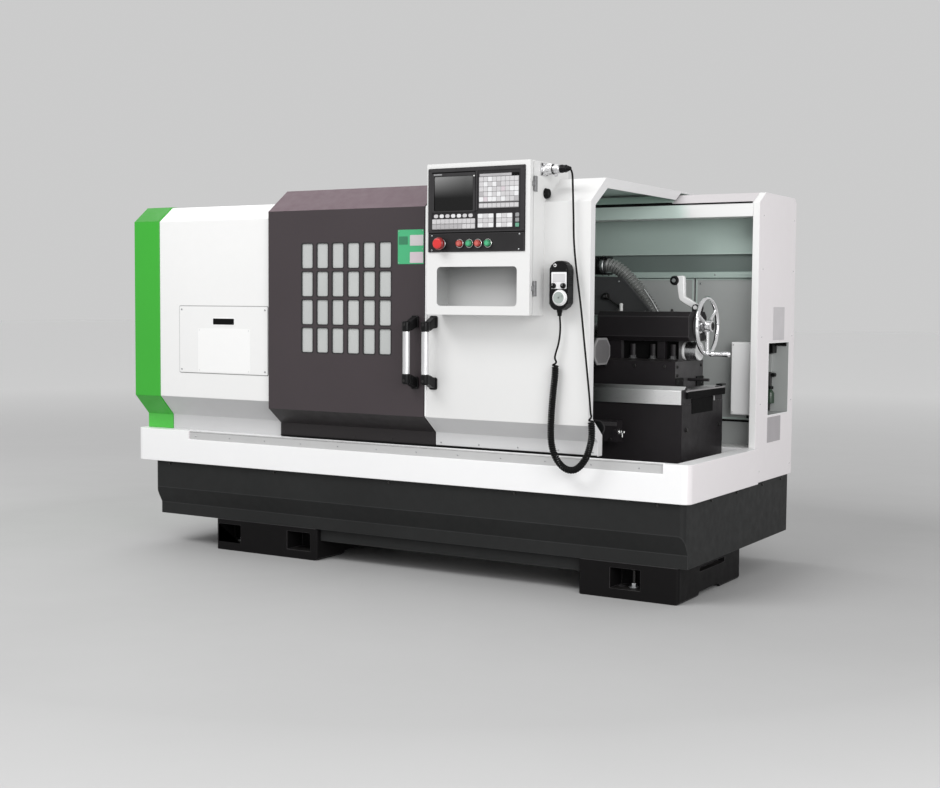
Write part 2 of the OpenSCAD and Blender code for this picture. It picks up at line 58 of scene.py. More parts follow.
# ------------------------------------------------------------------ camera
cam_data = bpy.data.cameras.new("camera")
cam_data.sensor_width = 36.0
cam_data.sensor_fit = "HORIZONTAL"
cam_data.lens = 53.95
cam_data.clip_start = 0.1
cam_data.clip_end = 200
cam = bpy.data.objects.new("camera", cam_data)
bpy.context.scene.collection.objects.link(cam)
az, pt, rl = radians(31.0174), radians(3.634), radians(0.4318)
fwd = Vector((-sin(az) * cos(pt), cos(az) * cos(pt), -sin(pt)))
rgt = Vector((cos(az), sin(az), 0))
upv = rgt.cross(fwd)
r2 = rgt * cos(rl) + upv * sin(rl)
u2 = upv * cos(rl) - rgt * sin(rl)
m = Matrix((r2, u2, -fwd)).transposed().to_4x4()
m.translation = P(3304.8, -5454.9, 1125.1)
cam.matrix_world = m
bpy.context.scene.camera = cam


# ------------------------------------------------------------------ materials
class N:
    """A short way to write a node tree."""

    def __init__(self, name):
        self.mat = bpy.data.materials.new(name)
        self.mat.use_nodes = True
        self.t = self.mat.node_tree
        self.t.nodes.clear()
        self.out = self.t.nodes.new("ShaderNodeOutputMaterial")
        self.b = self.t.nodes.new("ShaderNodeBsdfPrincipled")
        self.t.links.new(self.b.outputs[0], self.out.inputs[0])
        self.tc = self.t.nodes.new("ShaderNodeTexCoord")

    def set(self, **kw):
        for k, v in kw.items():
            self.b.inputs[k.replace("_", " ")].default_value = v
        return self

    def link(self, a, b):
        self.t.links.new(a, b)

    def noise(self, scale, detail=3.0, rough=0.55, stretch=None, off=None, distort=0.0):
        n = self.t.nodes.new("ShaderNodeTexNoise")
        n.inputs["Scale"].default_value = scale
        n.inputs["Detail"].default_value = detail
        n.inputs["Roughness"].default_value = rough
        n.inputs["Distortion"].default_value = distort
        src = self.tc.outputs["Object"]
        if stretch or off:
            mp = self.t.nodes.new("ShaderNodeMapping")
            if stretch:
                mp.inputs["Scale"].default_value = stretch
            if off:
                mp.inputs["Location"].default_value = off
            self.link(src, mp.inputs[0])
            src = mp.outputs[0]
        self.link(src, n.inputs["Vector"])
        return n.outputs["Fac"]

    def voronoi(self, scale, feature="F1", out="Distance", stretch=None):
        n = self.t.nodes.new("ShaderNodeTexVoronoi")
        n.feature = feature
        n.inputs["Scale"].default_value = scale
        src = self.tc.outputs["Object"]
        if stretch:
            mp = self.t.nodes.new("ShaderNodeMapping")
            mp.inputs["Scale"].default_value = stretch
            self.link(src, mp.inputs[0])
            src = mp.outputs[0]
        self.link(src, n.inputs["Vector"])
        return n.outputs[out]

    def wave(self, scale, axis="X", distort=0.0, kind="SIN"):
        n = self.t.nodes.new("ShaderNodeTexWave")
        n.bands_direction = axis
        n.wave_profile = kind
        n.inputs["Scale"].default_value = scale
        n.inputs["Distortion"].default_value = distort
        self.link(self.tc.outputs["Object"], n.inputs["Vector"])
        return n.outputs["Fac"]

    def remap(self, src, a, b, c=0.0, d=1.0):
        n = self.t.nodes.new("ShaderNodeMapRange")
        n.inputs["From Min"].default_value = a
        n.inputs["From Max"].default_value = b
        n.inputs["To Min"].default_value = c
        n.inputs["To Max"].default_value = d
        self.link(src, n.inputs["Value"])
        return n.outputs[0]

    def math(self, op, a, b=None):
        n = self.t.nodes.new("ShaderNodeMath")
        n.operation = op
        for i, v in enumerate((a, b)):
            if v is None:
                continue
            if isinstance(v, (int, float)):
                n.inputs[i].default_value = v
            else:
                self.link(v, n.inputs[i])
        return n.outputs[0]

    def mix(self, fac, a, b):
        n = self.t.nodes.new("ShaderNodeMix")
        n.data_type = "RGBA"
        if isinstance(fac, (int, float)):
            n.inputs["Factor"].default_value = fac
        else:
            self.link(fac, n.inputs["Factor"])
        for s, v in (("A", a), ("B", b)):
            sock = [i for i in n.inputs if i.name == s and i.type == "RGBA"][0]
            if isinstance(v, (tuple, list)):
                sock.default_value = (*v, 1)
            else:
                self.link(v, sock)
        return [o for o in n.outputs if o.type == "RGBA"][0]

    def split(self, vec=None):
        n = self.t.nodes.new("ShaderNodeSeparateXYZ")
        self.link(vec or self.tc.outputs["Object"], n.inputs[0])
        return n.outputs

    def up(self):
        g = self.t.nodes.new("ShaderNodeNewGeometry")
        return self.split(g.outputs["Normal"])[2]

    def bump(self, h, strength, dist, prev=None):
        n = self.t.nodes.new("ShaderNodeBump")
        n.inputs["Strength"].default_value = strength
        n.inputs["Distance"].default_value = dist
        self.link(h, n.inputs["Height"])
        if prev is not None:
            self.link(prev, n.inputs["Normal"])
        return n.outputs[0]

    def color(self, c):
        self.link(c, self.b.inputs["Base Color"])
        return self

    def rough(self, c):
        self.link(c, self.b.inputs["Roughness"])
        return self

    def normal(self, c):
        self.link(c, self.b.inputs["Normal"])
        return self


M = {}


def shade(c, k):
    return tuple(min(1.0, v * k) for v in c)


def coating(name, col, rough=0.4, tint=0.05, peel=0.12, peel_scale=420.0, wave=0.05, dust=0.0, spec=0.5, coat=0.0, grain=0.0, mottled=0.0):
    """Powder coat or casting paint: soft blotches, orange peel, gentle waviness, a little dust on top faces."""
    n = N(name)
    n.set(Specular_IOR_Level=spec, Coat_Weight=coat, Coat_Roughness=0.18)
    big = n.noise(1.9, 4)
    mid = n.noise(23.0, 4, 0.6)
    c = n.mix(n.remap(big, 0.3, 0.7), shade(col, 1 - tint), shade(col, 1 + tint))
    c = n.mix(n.remap(mid, 0.35, 0.75, 0, 0.5), c, shade(col, 1 - tint * 1.4))
    fine = n.noise(peel_scale, 2, 0.5)
    if mottled:
        spk = n.noise(900.0, 2, 0.6)
        c = n.mix(n.remap(spk, 0.35, 0.7, 0, mottled), c, shade(col, 1.9))
    r = n.remap(mid, 0.3, 0.7, rough - 0.05, rough + 0.06)
    if dust:
        up = n.remap(n.up(), 0.75, 1.0, 0, dust)
        cloud = n.remap(n.noise(9.0, 5, 0.65), 0.35, 0.75)
        f = n.math("MULTIPLY", up, cloud)
        c = n.mix(f, c, (0.42, 0.40, 0.37))
        r = n.math("ADD", r, n.math("MULTIPLY", f, 0.3))
    n.color(c).rough(r)
    nb = n.bump(n.noise(3.2, 2), wave, 0.02)
    nb = n.bump(fine, peel, 0.0006, nb)
    if grain:
        nb = n.bump(n.noise(130.0, 5, 0.7), grain, 0.0015, nb)
    n.normal(nb)
    M[name] = n.mat
    return n.mat


def metal(name, col, rough=0.3, stretch=(1, 1, 1), scale=60.0, bump=0.05, tint=0.1, stain=0.0):
    """Machined or drawn metal: fine lines along one direction, uneven gloss, faint oil film."""
    n = N(name)
    n.set(Metallic=1.0)
    lines = n.noise(scale, 4, 0.6, stretch=stretch)
    soft = n.noise(7.0, 4, 0.6)
    c = n.mix(n.remap(lines, 0.3, 0.7), shade(col, 1 - tint), shade(col, 1 + tint))
    if stain:
        c = n.mix(n.remap(soft, 0.5, 0.75, 0, stain), c, (col[0] * 0.5, col[1] * 0.45, col[2] * 0.38))
    n.color(c)
    r = n.remap(lines, 0.3, 0.7, rough - 0.06, rough + 0.08)
    r = n.math("ADD", r, n.remap(soft, 0.35, 0.7, -0.04, 0.08))
    n.rough(r)
    n.normal(n.bump(lines, bump, 0.0006))
    M[name] = n.mat
    return n.mat


def plastic(name, col, rough=0.42, tint=0.06, grain=0.12, scale=700.0, spec=0.5, coat=0.0):
    """Moulded plastic or rubber with a fine spark-eroded grain."""
    n = N(name)
    n.set(Specular_IOR_Level=spec, Coat_Weight=coat, Coat_Roughness=0.08)
    soft = n.noise(14.0, 3)
    fine = n.noise(scale, 3, 0.6)
    n.color(n.mix(n.remap(soft, 0.3, 0.7), shade(col, 1 - tint), shade(col, 1 + tint)))
    n.rough(n.remap(soft, 0.3, 0.7, rough - 0.04, rough + 0.07))
    n.normal(n.bump(fine, grain, 0.0004))
    M[name] = n.mat
    return n.mat


coating("white_paint", (0.82, 0.82, 0.815), 0.40, 0.012, 0.10, dust=0.10)
coating("white_edge", (0.86, 0.86, 0.86), 0.34, 0.01, 0.05)
coating("white_frame", (0.74, 0.735, 0.74), 0.42, 0.02, 0.10)
coating("dark_paint", (0.046, 0.036, 0.040), 0.34, 0.06, 0.12, dust=0.05, spec=0.42)
coating("dark_edge", (0.085, 0.074, 0.078), 0.38, 0.05, 0.08)
# dark_slope_reflection: paler mauve copy of the dark paint for upward slopes, a painted reflection of the light above
coating("dark_slope_reflection", (0.098, 0.056, 0.072), 0.42, 0.05, 0.12, dust=0.04, spec=0.18)
# dark_low_shade: darker copy of the dark paint for lower faces, painted shade
coating("dark_low_shade", (0.024, 0.021, 0.022), 0.42, 0.06, 0.12, spec=0.25)
# white_low_shade: darker copy of the white for the right hood's lower chamfer and skirt, painted shade
coating("white_low_shade", (0.66, 0.66, 0.665), 0.42, 0.02, 0.10)
coating("screw_white", (0.70, 0.695, 0.70), 0.45, 0.02, 0.05)
coating("white_tray", (0.88, 0.88, 0.885), 0.38, 0.012, 0.10, dust=0.06)
coating("green_low", (0.075, 0.50, 0.06), 0.40, 0.03, 0.08)
# green_top_shade: darker copy of the green for upward faces, painted shade
coating("green_top_shade", (0.033, 0.285, 0.024), 0.42, 0.03, 0.10, spec=0.2)
# white_top_shade: darker mauve copy of the white for upward faces, painted shade
coating("white_top_shade", (0.605, 0.58, 0.592), 0.44, 0.02, 0.10, dust=0.06)
coating("seam_grey", (0.30, 0.30, 0.30), 0.50, 0.03, 0.05)
coating("cover_plate", (0.88, 0.88, 0.875), 0.36, 0.01, 0.04)
# interior_band_shade: darker copy of the interior paint for the recessed band, painted shade
coating("interior_band_shade", (0.155, 0.190, 0.178), 0.44, 0.03, 0.12)
coating("interior_edge", (0.50, 0.59, 0.55), 0.40, 0.03, 0.08)
coating("foot_paint", (0.0075, 0.007, 0.0073), 0.50, 0.12, 0.25, peel_scale=180, wave=0.12, dust=0.06, grain=0.15, spec=0.08)
# white_side_shade: pink tinted copy of the white for faces turned to the right, painted shade
coating("white_side_shade", (0.825, 0.79, 0.805), 0.40, 0.012, 0.10, dust=0.08)
# roof_inside_lit: paler copy of the interior paint for the roof underside, painted light where little light reaches
coating("roof_inside_lit", (0.80, 0.94, 0.875), 0.44, 0.02, 0.10)
coating("white_door", (0.735, 0.735, 0.73), 0.40, 0.012, 0.10, dust=0.08)
# white_cover_low_shade: darker copy of the white for the cover's lower front faces, painted shade
coating("white_cover_low_shade", (0.575, 0.575, 0.58), 0.42, 0.02, 0.10)
coating("base_paint", (0.0205, 0.021, 0.021), 0.52, 0.10, 0.35, peel_scale=260, wave=0.08, dust=0.12, grain=0.10, spec=0.14)
coating("base_edge", (0.032, 0.033, 0.033), 0.50, 0.12, 0.20, spec=0.2)
coating("cast_paint", (0.016, 0.014, 0.0155), 0.44, 0.12, 0.25, peel_scale=180, wave=0.15, dust=0.10, grain=0.18, spec=0.20)
coating("cast_edge", (0.045, 0.042, 0.044), 0.45, 0.15, 0.20, grain=0.1, spec=0.3)
# cast_top_highlight: pale grey for the black top plate of the bed end, a painted highlight
coating("cast_top_highlight", (0.30, 0.29, 0.295), 0.42, 0.08, 0.20, grain=0.08)
coating("octagon_face", (0.150, 0.146, 0.149), 0.40, 0.06, 0.20, grain=0.05)
coating("octagon_edge", (0.27, 0.265, 0.268), 0.38, 0.06, 0.15, grain=0.05)
coating("bolt_dull", (0.085, 0.085, 0.087), 0.40, 0.08, 0.10)
coating("cast_grey", (0.046, 0.044, 0.0455), 0.45, 0.10, 0.25, peel_scale=180, wave=0.12, dust=0.10, grain=0.15)
coating("green_paint", (0.036, 0.40, 0.026), 0.38, 0.03, 0.10, dust=0.05)
coating("green_edge", (0.10, 0.50, 0.08), 0.36, 0.03, 0.06)
coating("interior_paint", (0.43, 0.525, 0.485), 0.42, 0.03, 0.12, dust=0.04)
coating("interior_grey", (0.40, 0.415, 0.408), 0.45, 0.03, 0.12, dust=0.04)
coating("rail_grey", (0.50, 0.50, 0.50), 0.40, 0.04, 0.10)
coating("cover_grey", (0.050, 0.050, 0.052), 0.46, 0.08, 0.25, peel_scale=300, dust=0.08)
plastic("plate_green", (0.060, 0.415, 0.185), 0.38, 0.03, 0.05)
plastic("blank_plate", (0.56, 0.54, 0.55), 0.50, 0.03, 0.05)
plastic("blank_warm", (0.60, 0.52, 0.56), 0.50, 0.04, 0.05)
plastic("black_plastic", (0.006, 0.006, 0.0065), 0.36, 0.15, 0.18, spec=0.17)
plastic("black_rubber", (0.006, 0.006, 0.006), 0.52, 0.15, 0.25, scale=420, spec=0.14)
plastic("panel_face", (0.017, 0.0155, 0.017), 0.46, 0.08, 0.15, spec=0.3)
plastic("panel_frame", (0.028, 0.0265, 0.028), 0.38, 0.08, 0.12, spec=0.35)
plastic("panel_low", (0.019, 0.018, 0.019), 0.48, 0.08, 0.20, spec=0.25)
plastic("key_bed", (0.26, 0.255, 0.26), 0.50, 0.05, 0.10)
plastic("key_pale", (0.55, 0.54, 0.55), 0.45, 0.05, 0.08)
plastic("key_white", (0.72, 0.72, 0.73), 0.42, 0.04, 0.08)
plastic("key_rose", (0.56, 0.50, 0.53), 0.45, 0.05, 0.08)
plastic("key_dull", (0.40, 0.39, 0.40), 0.48, 0.05, 0.08)
# red_shaded_rim: darker red for the emergency stop's outer rim, painted shade
plastic("red_shaded_rim", (0.20, 0.010, 0.010), 0.34, 0.06, 0.04, coat=0.2)
plastic("lens_light_r", (0.55, 0.12, 0.10), 0.20, 0.08, 0.04, coat=0.6)
plastic("lens_light_g", (0.06, 0.42, 0.20), 0.20, 0.08, 0.04, coat=0.6)
plastic("hinge_grey", (0.20, 0.20, 0.205), 0.42, 0.08, 0.10)
plastic("pendant_plate", (0.80, 0.80, 0.81), 0.44, 0.03, 0.05)
plastic("pendant_field", (0.58, 0.575, 0.585), 0.40, 0.03, 0.05)
plastic("pendant_white", (0.84, 0.84, 0.84), 0.34, 0.03, 0.05)
plastic("gasket", (0.030, 0.029, 0.030), 0.60, 0.10, 0.15, spec=0.2)
plastic("plate_dark", (0.035, 0.20, 0.10), 0.38, 0.03, 0.05)
plastic("conduit", (0.16, 0.165, 0.16), 0.26, 0.12, 0.10, scale=300, spec=0.9, coat=0.5)
plastic("wing_plate", (0.58, 0.56, 0.575), 0.48, 0.04, 0.05)
plastic("wing_plate2", (0.40, 0.38, 0.395), 0.50, 0.05, 0.05)
plastic("green_bottle", (0.018, 0.045, 0.024), 0.30, 0.08, 0.05, coat=0.3)
plastic("key_grey", (0.26, 0.26, 0.265), 0.45, 0.05, 0.08)
plastic("key_green", (0.12, 0.32, 0.22), 0.45, 0.05, 0.08)
plastic("red_plastic", (0.62, 0.022, 0.022), 0.28, 0.05, 0.04, coat=0.4)
plastic("red_lens", (0.36, 0.035, 0.025), 0.22, 0.08, 0.04, coat=0.6)
plastic("green_lens", (0.02, 0.24, 0.10), 0.22, 0.08, 0.04, coat=0.6)
plastic("white_plastic", (0.72, 0.72, 0.71), 0.40, 0.03, 0.06)
plastic("dial_grey", (0.34, 0.38, 0.36), 0.35, 0.04, 0.08)
coating("bright_paint", (0.80, 0.80, 0.80), 0.26, 0.03, 0.06, coat=0.3)
plastic("gap_black", (0.005, 0.005, 0.005), 0.75, 0.1, 0.05, spec=0.08)
metal("ground_steel", (0.50, 0.50, 0.50), 0.30, (2, 60, 60), 20, 0.10, 0.12, stain=0.25)
metal("bright_steel", (0.80, 0.80, 0.79), 0.20, (30, 30, 30), 12, 0.03, 0.05)
metal("satin_steel", (0.66, 0.66, 0.67), 0.34, (60, 60, 3), 20, 0.06, 0.06)
metal("turned_steel", (0.55, 0.55, 0.56), 0.26, (160, 4, 4), 12, 0.10, 0.10, stain=0.15)
metal("zinc", (0.52, 0.53, 0.54), 0.36, (20, 20, 20), 20, 0.08, 0.12, stain=0.10)
metal("bar_steel", (0.80, 0.80, 0.81), 0.40, (80, 80, 2), 20, 0.05, 0.03)
metal("bright_satin", (0.82, 0.82, 0.83), 0.26, (30, 30, 30), 16, 0.04, 0.05)
metal("chrome", (0.88, 0.88, 0.89), 0.13, (20, 20, 20), 10, 0.02, 0.03)
metal("black_oxide", (0.065, 0.063, 0.062), 0.38, (20, 20, 20), 20, 0.08, 0.2)
metal("brass", (0.62, 0.46, 0.22), 0.32, (20, 20, 20), 20, 0.05, 0.08)
metal("aluminium", (0.72, 0.73, 0.74), 0.36, (60, 3, 60), 20, 0.06, 0.05)


def make_special():
    # frosted panes: a milky plastic with a fine dimple pattern
    n = N("pane")
    n.set(Specular_IOR_Level=0.5, Coat_Weight=0.25, Coat_Roughness=0.2)
    big = n.noise(3.0, 3)
    n.color(n.mix(n.remap(big, 0.3, 0.7), (0.46, 0.475, 0.47), (0.53, 0.54, 0.53)))
    n.rough(n.remap(n.noise(60, 3), 0.3, 0.7, 0.28, 0.44))
    n.normal(n.bump(n.voronoi(520), 0.25, 0.0006))
    M["pane"] = n.mat
    # black display glass with a painted reflection, a soft pale patch in its upper left corner
    n = N("screen_glass")
    n.set(Specular_IOR_Level=0.25, Coat_Weight=0.25, Coat_Roughness=0.03)
    o = n.split()
    gx = n.remap(o[0], (328 + OX) / 1000, (470 + OX) / 1000, 1, 0)
    gz = n.remap(o[2], 1.535, 1.622, 0, 1)
    f = n.math("MULTIPLY", n.math("ADD", n.math("MULTIPLY", gx, 0.45), 0.55), gz)
    f = n.math("POWER", n.remap(f, 0, 1, 0, 1), 1.3)
    n.color(n.mix(f, (0.002, 0.002, 0.002), (0.26, 0.26, 0.26)))
    n.rough(n.remap(n.noise(200, 3), 0.3, 0.7, 0.12, 0.2))
    n.normal(n.bump(n.noise(8, 2), 0.02, 0.01))
    M["screen_glass"] = n.mat
    # amber oil in a clear bottle
    n = N("oil")
    n.set(Coat_Weight=0.8, Coat_Roughness=0.05)
    n.color(n.mix(n.remap(n.noise(30, 3), 0.3, 0.7), (0.10, 0.13, 0.05), (0.16, 0.17, 0.07)))
    n.rough(n.remap(n.noise(60, 2), 0.3, 0.7, 0.12, 0.25))
    M["oil"] = n.mat
    n = N("bottle")
    n.set(Coat_Weight=0.6, Coat_Roughness=0.08)
    n.color(n.mix(n.remap(n.noise(20, 3), 0.3, 0.7), (0.20, 0.22, 0.21), (0.28, 0.30, 0.29)))
    n.rough(n.remap(n.noise(60, 2), 0.3, 0.7, 0.18, 0.32))
    n.normal(n.bump(n.noise(90, 2), 0.05, 0.001))
    M["bottle"] = n.mat
    # bed ways: ground steel with a painted reflection, dark towards the chuck and bright towards the right end
    n = N("way_steel")
    n.set(Metallic=0.55)
    o = n.split()
    lines = n.noise(22, 4, 0.6, stretch=(2, 60, 60))
    gx = n.remap(n.math("ADD", o[0], n.math("MULTIPLY", n.noise(6, 3), 0.04)), 0.875, 1.145, 0, 1)
    c = n.mix(n.math("POWER", gx, 1.25), (0.055, 0.058, 0.057), (0.86, 0.86, 0.86))
    n.color(n.mix(n.remap(lines, 0.3, 0.7, 0, 0.10), c, (0.30, 0.30, 0.30)))
    n.rough(n.remap(lines, 0.3, 0.7, 0.26, 0.40))
    n.normal(n.bump(lines, 0.06, 0.0006))
    M["way_steel"] = n.mat
    # beam: white paint with a painted shadow of the hood roof, grey green on the left and white over the right end
    n = N("beam_hood_shadow")
    o = n.split()
    n.color(n.mix(n.remap(o[0], 1.008, 1.066, 0, 1), (0.70, 0.83, 0.775), (0.82, 0.82, 0.817)))
    n.rough(n.remap(n.noise(60, 3), 0.3, 0.7, 0.36, 0.44))
    n.normal(n.bump(n.noise(420, 2), 0.05, 0.0004))
    M["beam_hood_shadow"] = n.mat
    # storage pocket: grey paint with painted shade, darker at the top left and paler low on the right
    n = N("pocket_shaded_grey")
    o = n.split()
    a = n.remap(o[0], (338 + OX) / 1000, (698 + OX) / 1000, 0, 1)
    b = n.remap(o[2], 1.118, 1.272, 1, 0)
    f = n.math("ADD", n.math("MULTIPLY", a, 0.42), n.math("MULTIPLY", b, 0.58))
    n.color(n.mix(n.remap(f, 0.15, 0.95, 0, 1), (0.23, 0.235, 0.232), (0.56, 0.56, 0.56)))
    n.rough(n.remap(n.noise(60, 3), 0.3, 0.7, 0.44, 0.52))
    n.normal(n.bump(n.noise(420, 2), 0.05, 0.0004))
    M["pocket_shaded_grey"] = n.mat
    # pale studio floor that runs out into the backdrop
    n = N("floor")
    n.set(Specular_IOR_Level=0.2)
    o = n.split()
    far = n.math("SQRT", n.math("ADD", n.math("MULTIPLY", o[0], o[0]), n.math("MULTIPLY", o[1], o[1])))
    base = n.mix(n.remap(n.noise(0.8, 3), 0.3, 0.7), (0.46, 0.46, 0.46), (0.48, 0.48, 0.48))
    n.color(n.mix(n.math("POWER", n.remap(far, 2.6, 13.0, 0, 1), 0.8), base, (0.98, 0.98, 0.98)))
    n.rough(n.remap(n.noise(4, 3), 0.3, 0.7, 0.6, 0.7))
    M["floor"] = n.mat


make_special()


# ------------------------------------------------------------------ mesh helpers
def dirmat(c, d):
    """Matrix that takes local +Z to direction d and the origin to c."""
    z = Vector(d).normalized()
    ref = Vector((0, 0, 1)) if abs(z.z) < 0.9 else Vector((0, 1, 0))
    x = ref.cross(z).normalized()
    if abs(z.z) >= 0.9:
        x = Vector((1, 0, 0))
    y = z.cross(x)
    x = y.cross(z)
    mt = Matrix((x, y, z)).transposed().to_4x4()
    mt.translation = Vector(c)
    return mt


def spline(p, n):
    """Smooth curve through points, n steps a span."""
    p = [Vector(v) for v in p]
    out = []
    for i in range(len(p) - 1):
        a, b, c, d = p[max(i - 1, 0)], p[i], p[i + 1], p[min(i + 2, len(p) - 1)]
        for k in range(n):
            t = k / n
            out.append(0.5 * (2 * b + (c - a) * t + (2 * a - 5 * b + 4 * c - d) * t * t + (3 * b - a - 3 * c + d) * t ** 3))
    return out + [p[-1]]


def rr(a, b, r, n=5):
    """Rounded rectangle outline between two corners, counter-clockwise."""
    pts = []
    for cx, cy, s in ((b[0] - r, a[1] + r, -90), (b[0] - r, b[1] - r, 0), (a[0] + r, b[1] - r, 90), (a[0] + r, a[1] + r, 180)):
        for k in range(n + 1):
            t = radians(s + 90 * k / n)
            pts.append((cx + r * cos(t), cy + r * sin(t)))
    return pts


class Kit:
    """Collects detailed parts in working-frame millimetres into one named piece."""

    def __init__(self, name):
        self.name = name
        self.bm = bmesh.new()
        self.mats = []

    def _add(self, t, mat, xf=None):
        if mat not in self.mats:
            self.mats.append(mat)
        i = self.mats.index(mat)
        for f in t.faces:
            f.material_index = i
        if xf is not None:
            bmesh.ops.transform(t, matrix=xf, verts=t.verts)
            if xf.determinant() < 0:
                bmesh.ops.reverse_faces(t, faces=t.faces)
        me = bpy.data.meshes.new("part")
        t.to_mesh(me)
        t.free()
        self.bm.from_mesh(me)
        bpy.data.meshes.remove(me)

    def box(self, a, b, mat, bev=1.0, seg=2, xf=None):
        t = bmesh.new()
        bmesh.ops.create_cube(t, size=1)
        a, b = Vector(a), Vector(b)
        lo = Vector(map(min, a, b))
        hi = Vector(map(max, a, b))
        d = hi - lo
        bmesh.ops.scale(t, vec=d, verts=t.verts)
        bmesh.ops.translate(t, vec=(lo + hi) / 2, verts=t.verts)
        w = min(bev, 0.45 * min(d))
        if w > 0.02:
            bmesh.ops.bevel(t, geom=t.edges[:], offset=w, segments=seg, profile=0.5, affect="EDGES")
        self._add(t, mat, xf)

    def prism(self, pts, axis, c0, c1, mat, bev=1.0, seg=2, xf=None, minang=20):
        """Outline drawn out along an axis: x takes (y, z), y takes (x, z), z takes (x, y)."""
        t = bmesh.new()
        put = {"x": lambda c, u, v: (c, u, v), "y": lambda c, u, v: (u, c, v), "z": lambda c, u, v: (u, v, c)}[axis]
        vs = [t.verts.new(put(c0, *p)) for p in pts]
        ve = [t.verts.new(put(c1, *p)) for p in pts]
        t.faces.new(vs)
        t.faces.new(list(reversed(ve)))
        for i in range(len(pts)):
            j = (i + 1) % len(pts)
            t.faces.new((vs[j], vs[i], ve[i], ve[j]))
        bmesh.ops.recalc_face_normals(t, faces=t.faces)
        w = min(bev, 0.45 * abs(c1 - c0))
        if w > 0.02:
            t.normal_update()
            es = [e for e in t.edges if len(e.link_faces) == 2 and e.calc_face_angle() > radians(minang)]
            bmesh.ops.bevel(t, geom=es, offset=w, segments=seg, profile=0.5, affect="EDGES")
        self._add(t, mat, xf)

    def lathe(self, prof, mat, c=(0, 0, 0), d=(0, 0, 1), n=32, xf=None):
        """Profile of (radius, height) turned round the local Z, closed at the ends."""
        t = bmesh.new()
        rings = []
        for r, h in prof:
            if r < 1e-6:
                rings.append([t.verts.new((0, 0, h))])
            else:
                rings.append([t.verts.new((r * cos(2 * pi * k / n), r * sin(2 * pi * k / n), h)) for k in range(n)])
        for a, b in zip(rings, rings[1:]):
            for k in range(n):
                j = (k + 1) % n
                if len(a) == 1 and len(b) == 1:
                    continue
                if len(a) == 1:
                    t.faces.new((a[0], b[j], b[k]))
                elif len(b) == 1:
                    t.faces.new((a[k], a[j], b[0]))
                else:
                    t.faces.new((a[k], a[j], b[j], b[k]))
        for q in (rings[0], rings[-1]):
            if len(q) > 1:
                t.faces.new(q)
        bmesh.ops.recalc_face_normals(t, faces=t.faces)
        mt = dirmat(c, d)
        self._add(t, mat, (xf @ mt) if xf is not None else mt)

    def rod(self, c, d, r, length, mat, bev=0.8, n=32, xf=None):
        b = min(bev, r * 0.45, length * 0.45)
        self.lathe([(0, 0), (r - b, 0), (r - b * 0.3, b * 0.3), (r, b), (r, length - b), (r - b * 0.3, length - b * 0.3), (r - b, length), (0, length)], mat, c, d, n, xf)

    def ring(self, c, d, r0, r1, h, mat, bev=0.6, n=40, xf=None):
        """Washer or collar between two radii."""
        b = min(bev, (r1 - r0) * 0.4, h * 0.4)
        t = bmesh.new()
        prof = [(r0 + b, 0), (r1 - b, 0), (r1, b), (r1, h - b), (r1 - b, h), (r0 + b, h), (r0, h - b), (r0, b)]
        rings = [[t.verts.new((r * cos(2 * pi * k / n), r * sin(2 * pi * k / n), z)) for k in range(n)] for r, z in prof]
        for i in range(len(rings)):
            a, q = rings[i], rings[(i + 1) % len(rings)]
            for k in range(n):
                j = (k + 1) % n
                t.faces.new((a[k], a[j], q[j], q[k]))
        bmesh.ops.recalc_face_normals(t, faces=t.faces)
        mt = dirmat(c, d)
        self._add(t, mat, (xf @ mt) if xf is not None else mt)

    def hollow(self, outer, inner, axis, c0, c1, mat, xf=None):
        """Frame between two outlines with the same number of points."""
        t = bmesh.new()
        put = {"x": lambda c, u, v: (c, u, v), "y": lambda c, u, v: (u, c, v), "z": lambda c, u, v: (u, v, c)}[axis]
        rows = [[t.verts.new(put(c, *p)) for p in q] for c, q in ((c0, outer), (c1, outer), (c1, inner), (c0, inner))]
        for a, b in zip(rows, rows[1:] + rows[:1]):
            for i in range(len(outer)):
                j = (i + 1) % len(outer)
                t.faces.new((a[i], a[j], b[j], b[i]))
        bmesh.ops.recalc_face_normals(t, faces=t.faces)
        self._add(t, mat, xf)

    def tube(self, pts, r, mat, n=12, closed=False, xf=None):
        t = bmesh.new()
        add_tube(t, [Vector(p) for p in pts], r, n, closed)
        self._add(t, mat, xf)

    def ball(self, c, r, mat, n=24, xf=None, squash=1.0, d=(0, 0, 1)):
        m2 = n // 2
        prof = [(r * sin(pi * k / m2), -r * squash * cos(pi * k / m2)) for k in range(m2 + 1)]
        prof[0] = (0, -r * squash)
        prof[-1] = (0, r * squash)
        self.lathe(prof, mat, c, d, n, xf)

    def hexbolt(self, c, d, r, h, mat="zinc", washer=True, xf=None, stud=0.0):
        z = 0.0
        dv = Vector(d).normalized()
        c = Vector(c)
        if washer:
            self.rod(c, d, r * 1.35, h * 0.22, mat, 0.3, 28, xf)
            z = h * 0.22
        t = bmesh.new()
        pts = [(r * cos(pi * k / 3 + 0.2), r * sin(pi * k / 3 + 0.2)) for k in range(6)]
        low = [t.verts.new((x, y, 0)) for x, y in pts]
        top = [t.verts.new((x, y, h * 0.86)) for x, y in pts]
        cap = [t.verts.new((x * 0.88, y * 0.88, h)) for x, y in pts]
        t.faces.new(low)
        t.faces.new(cap)
        for a, b in ((low, top), (top, cap)):
            for k in range(6):
                j = (k + 1) % 6
                t.faces.new((a[k], a[j], b[j], b[k]))
        bmesh.ops.recalc_face_normals(t, faces=t.faces)
        mt = dirmat(c + dv * z, d)
        self._add(t, mat, (xf @ mt) if xf is not None else mt)
        if stud:
            self.rod(c + dv * (z + h - 0.5), d, r * 0.55, stud, mat, 0.6, 20, xf)

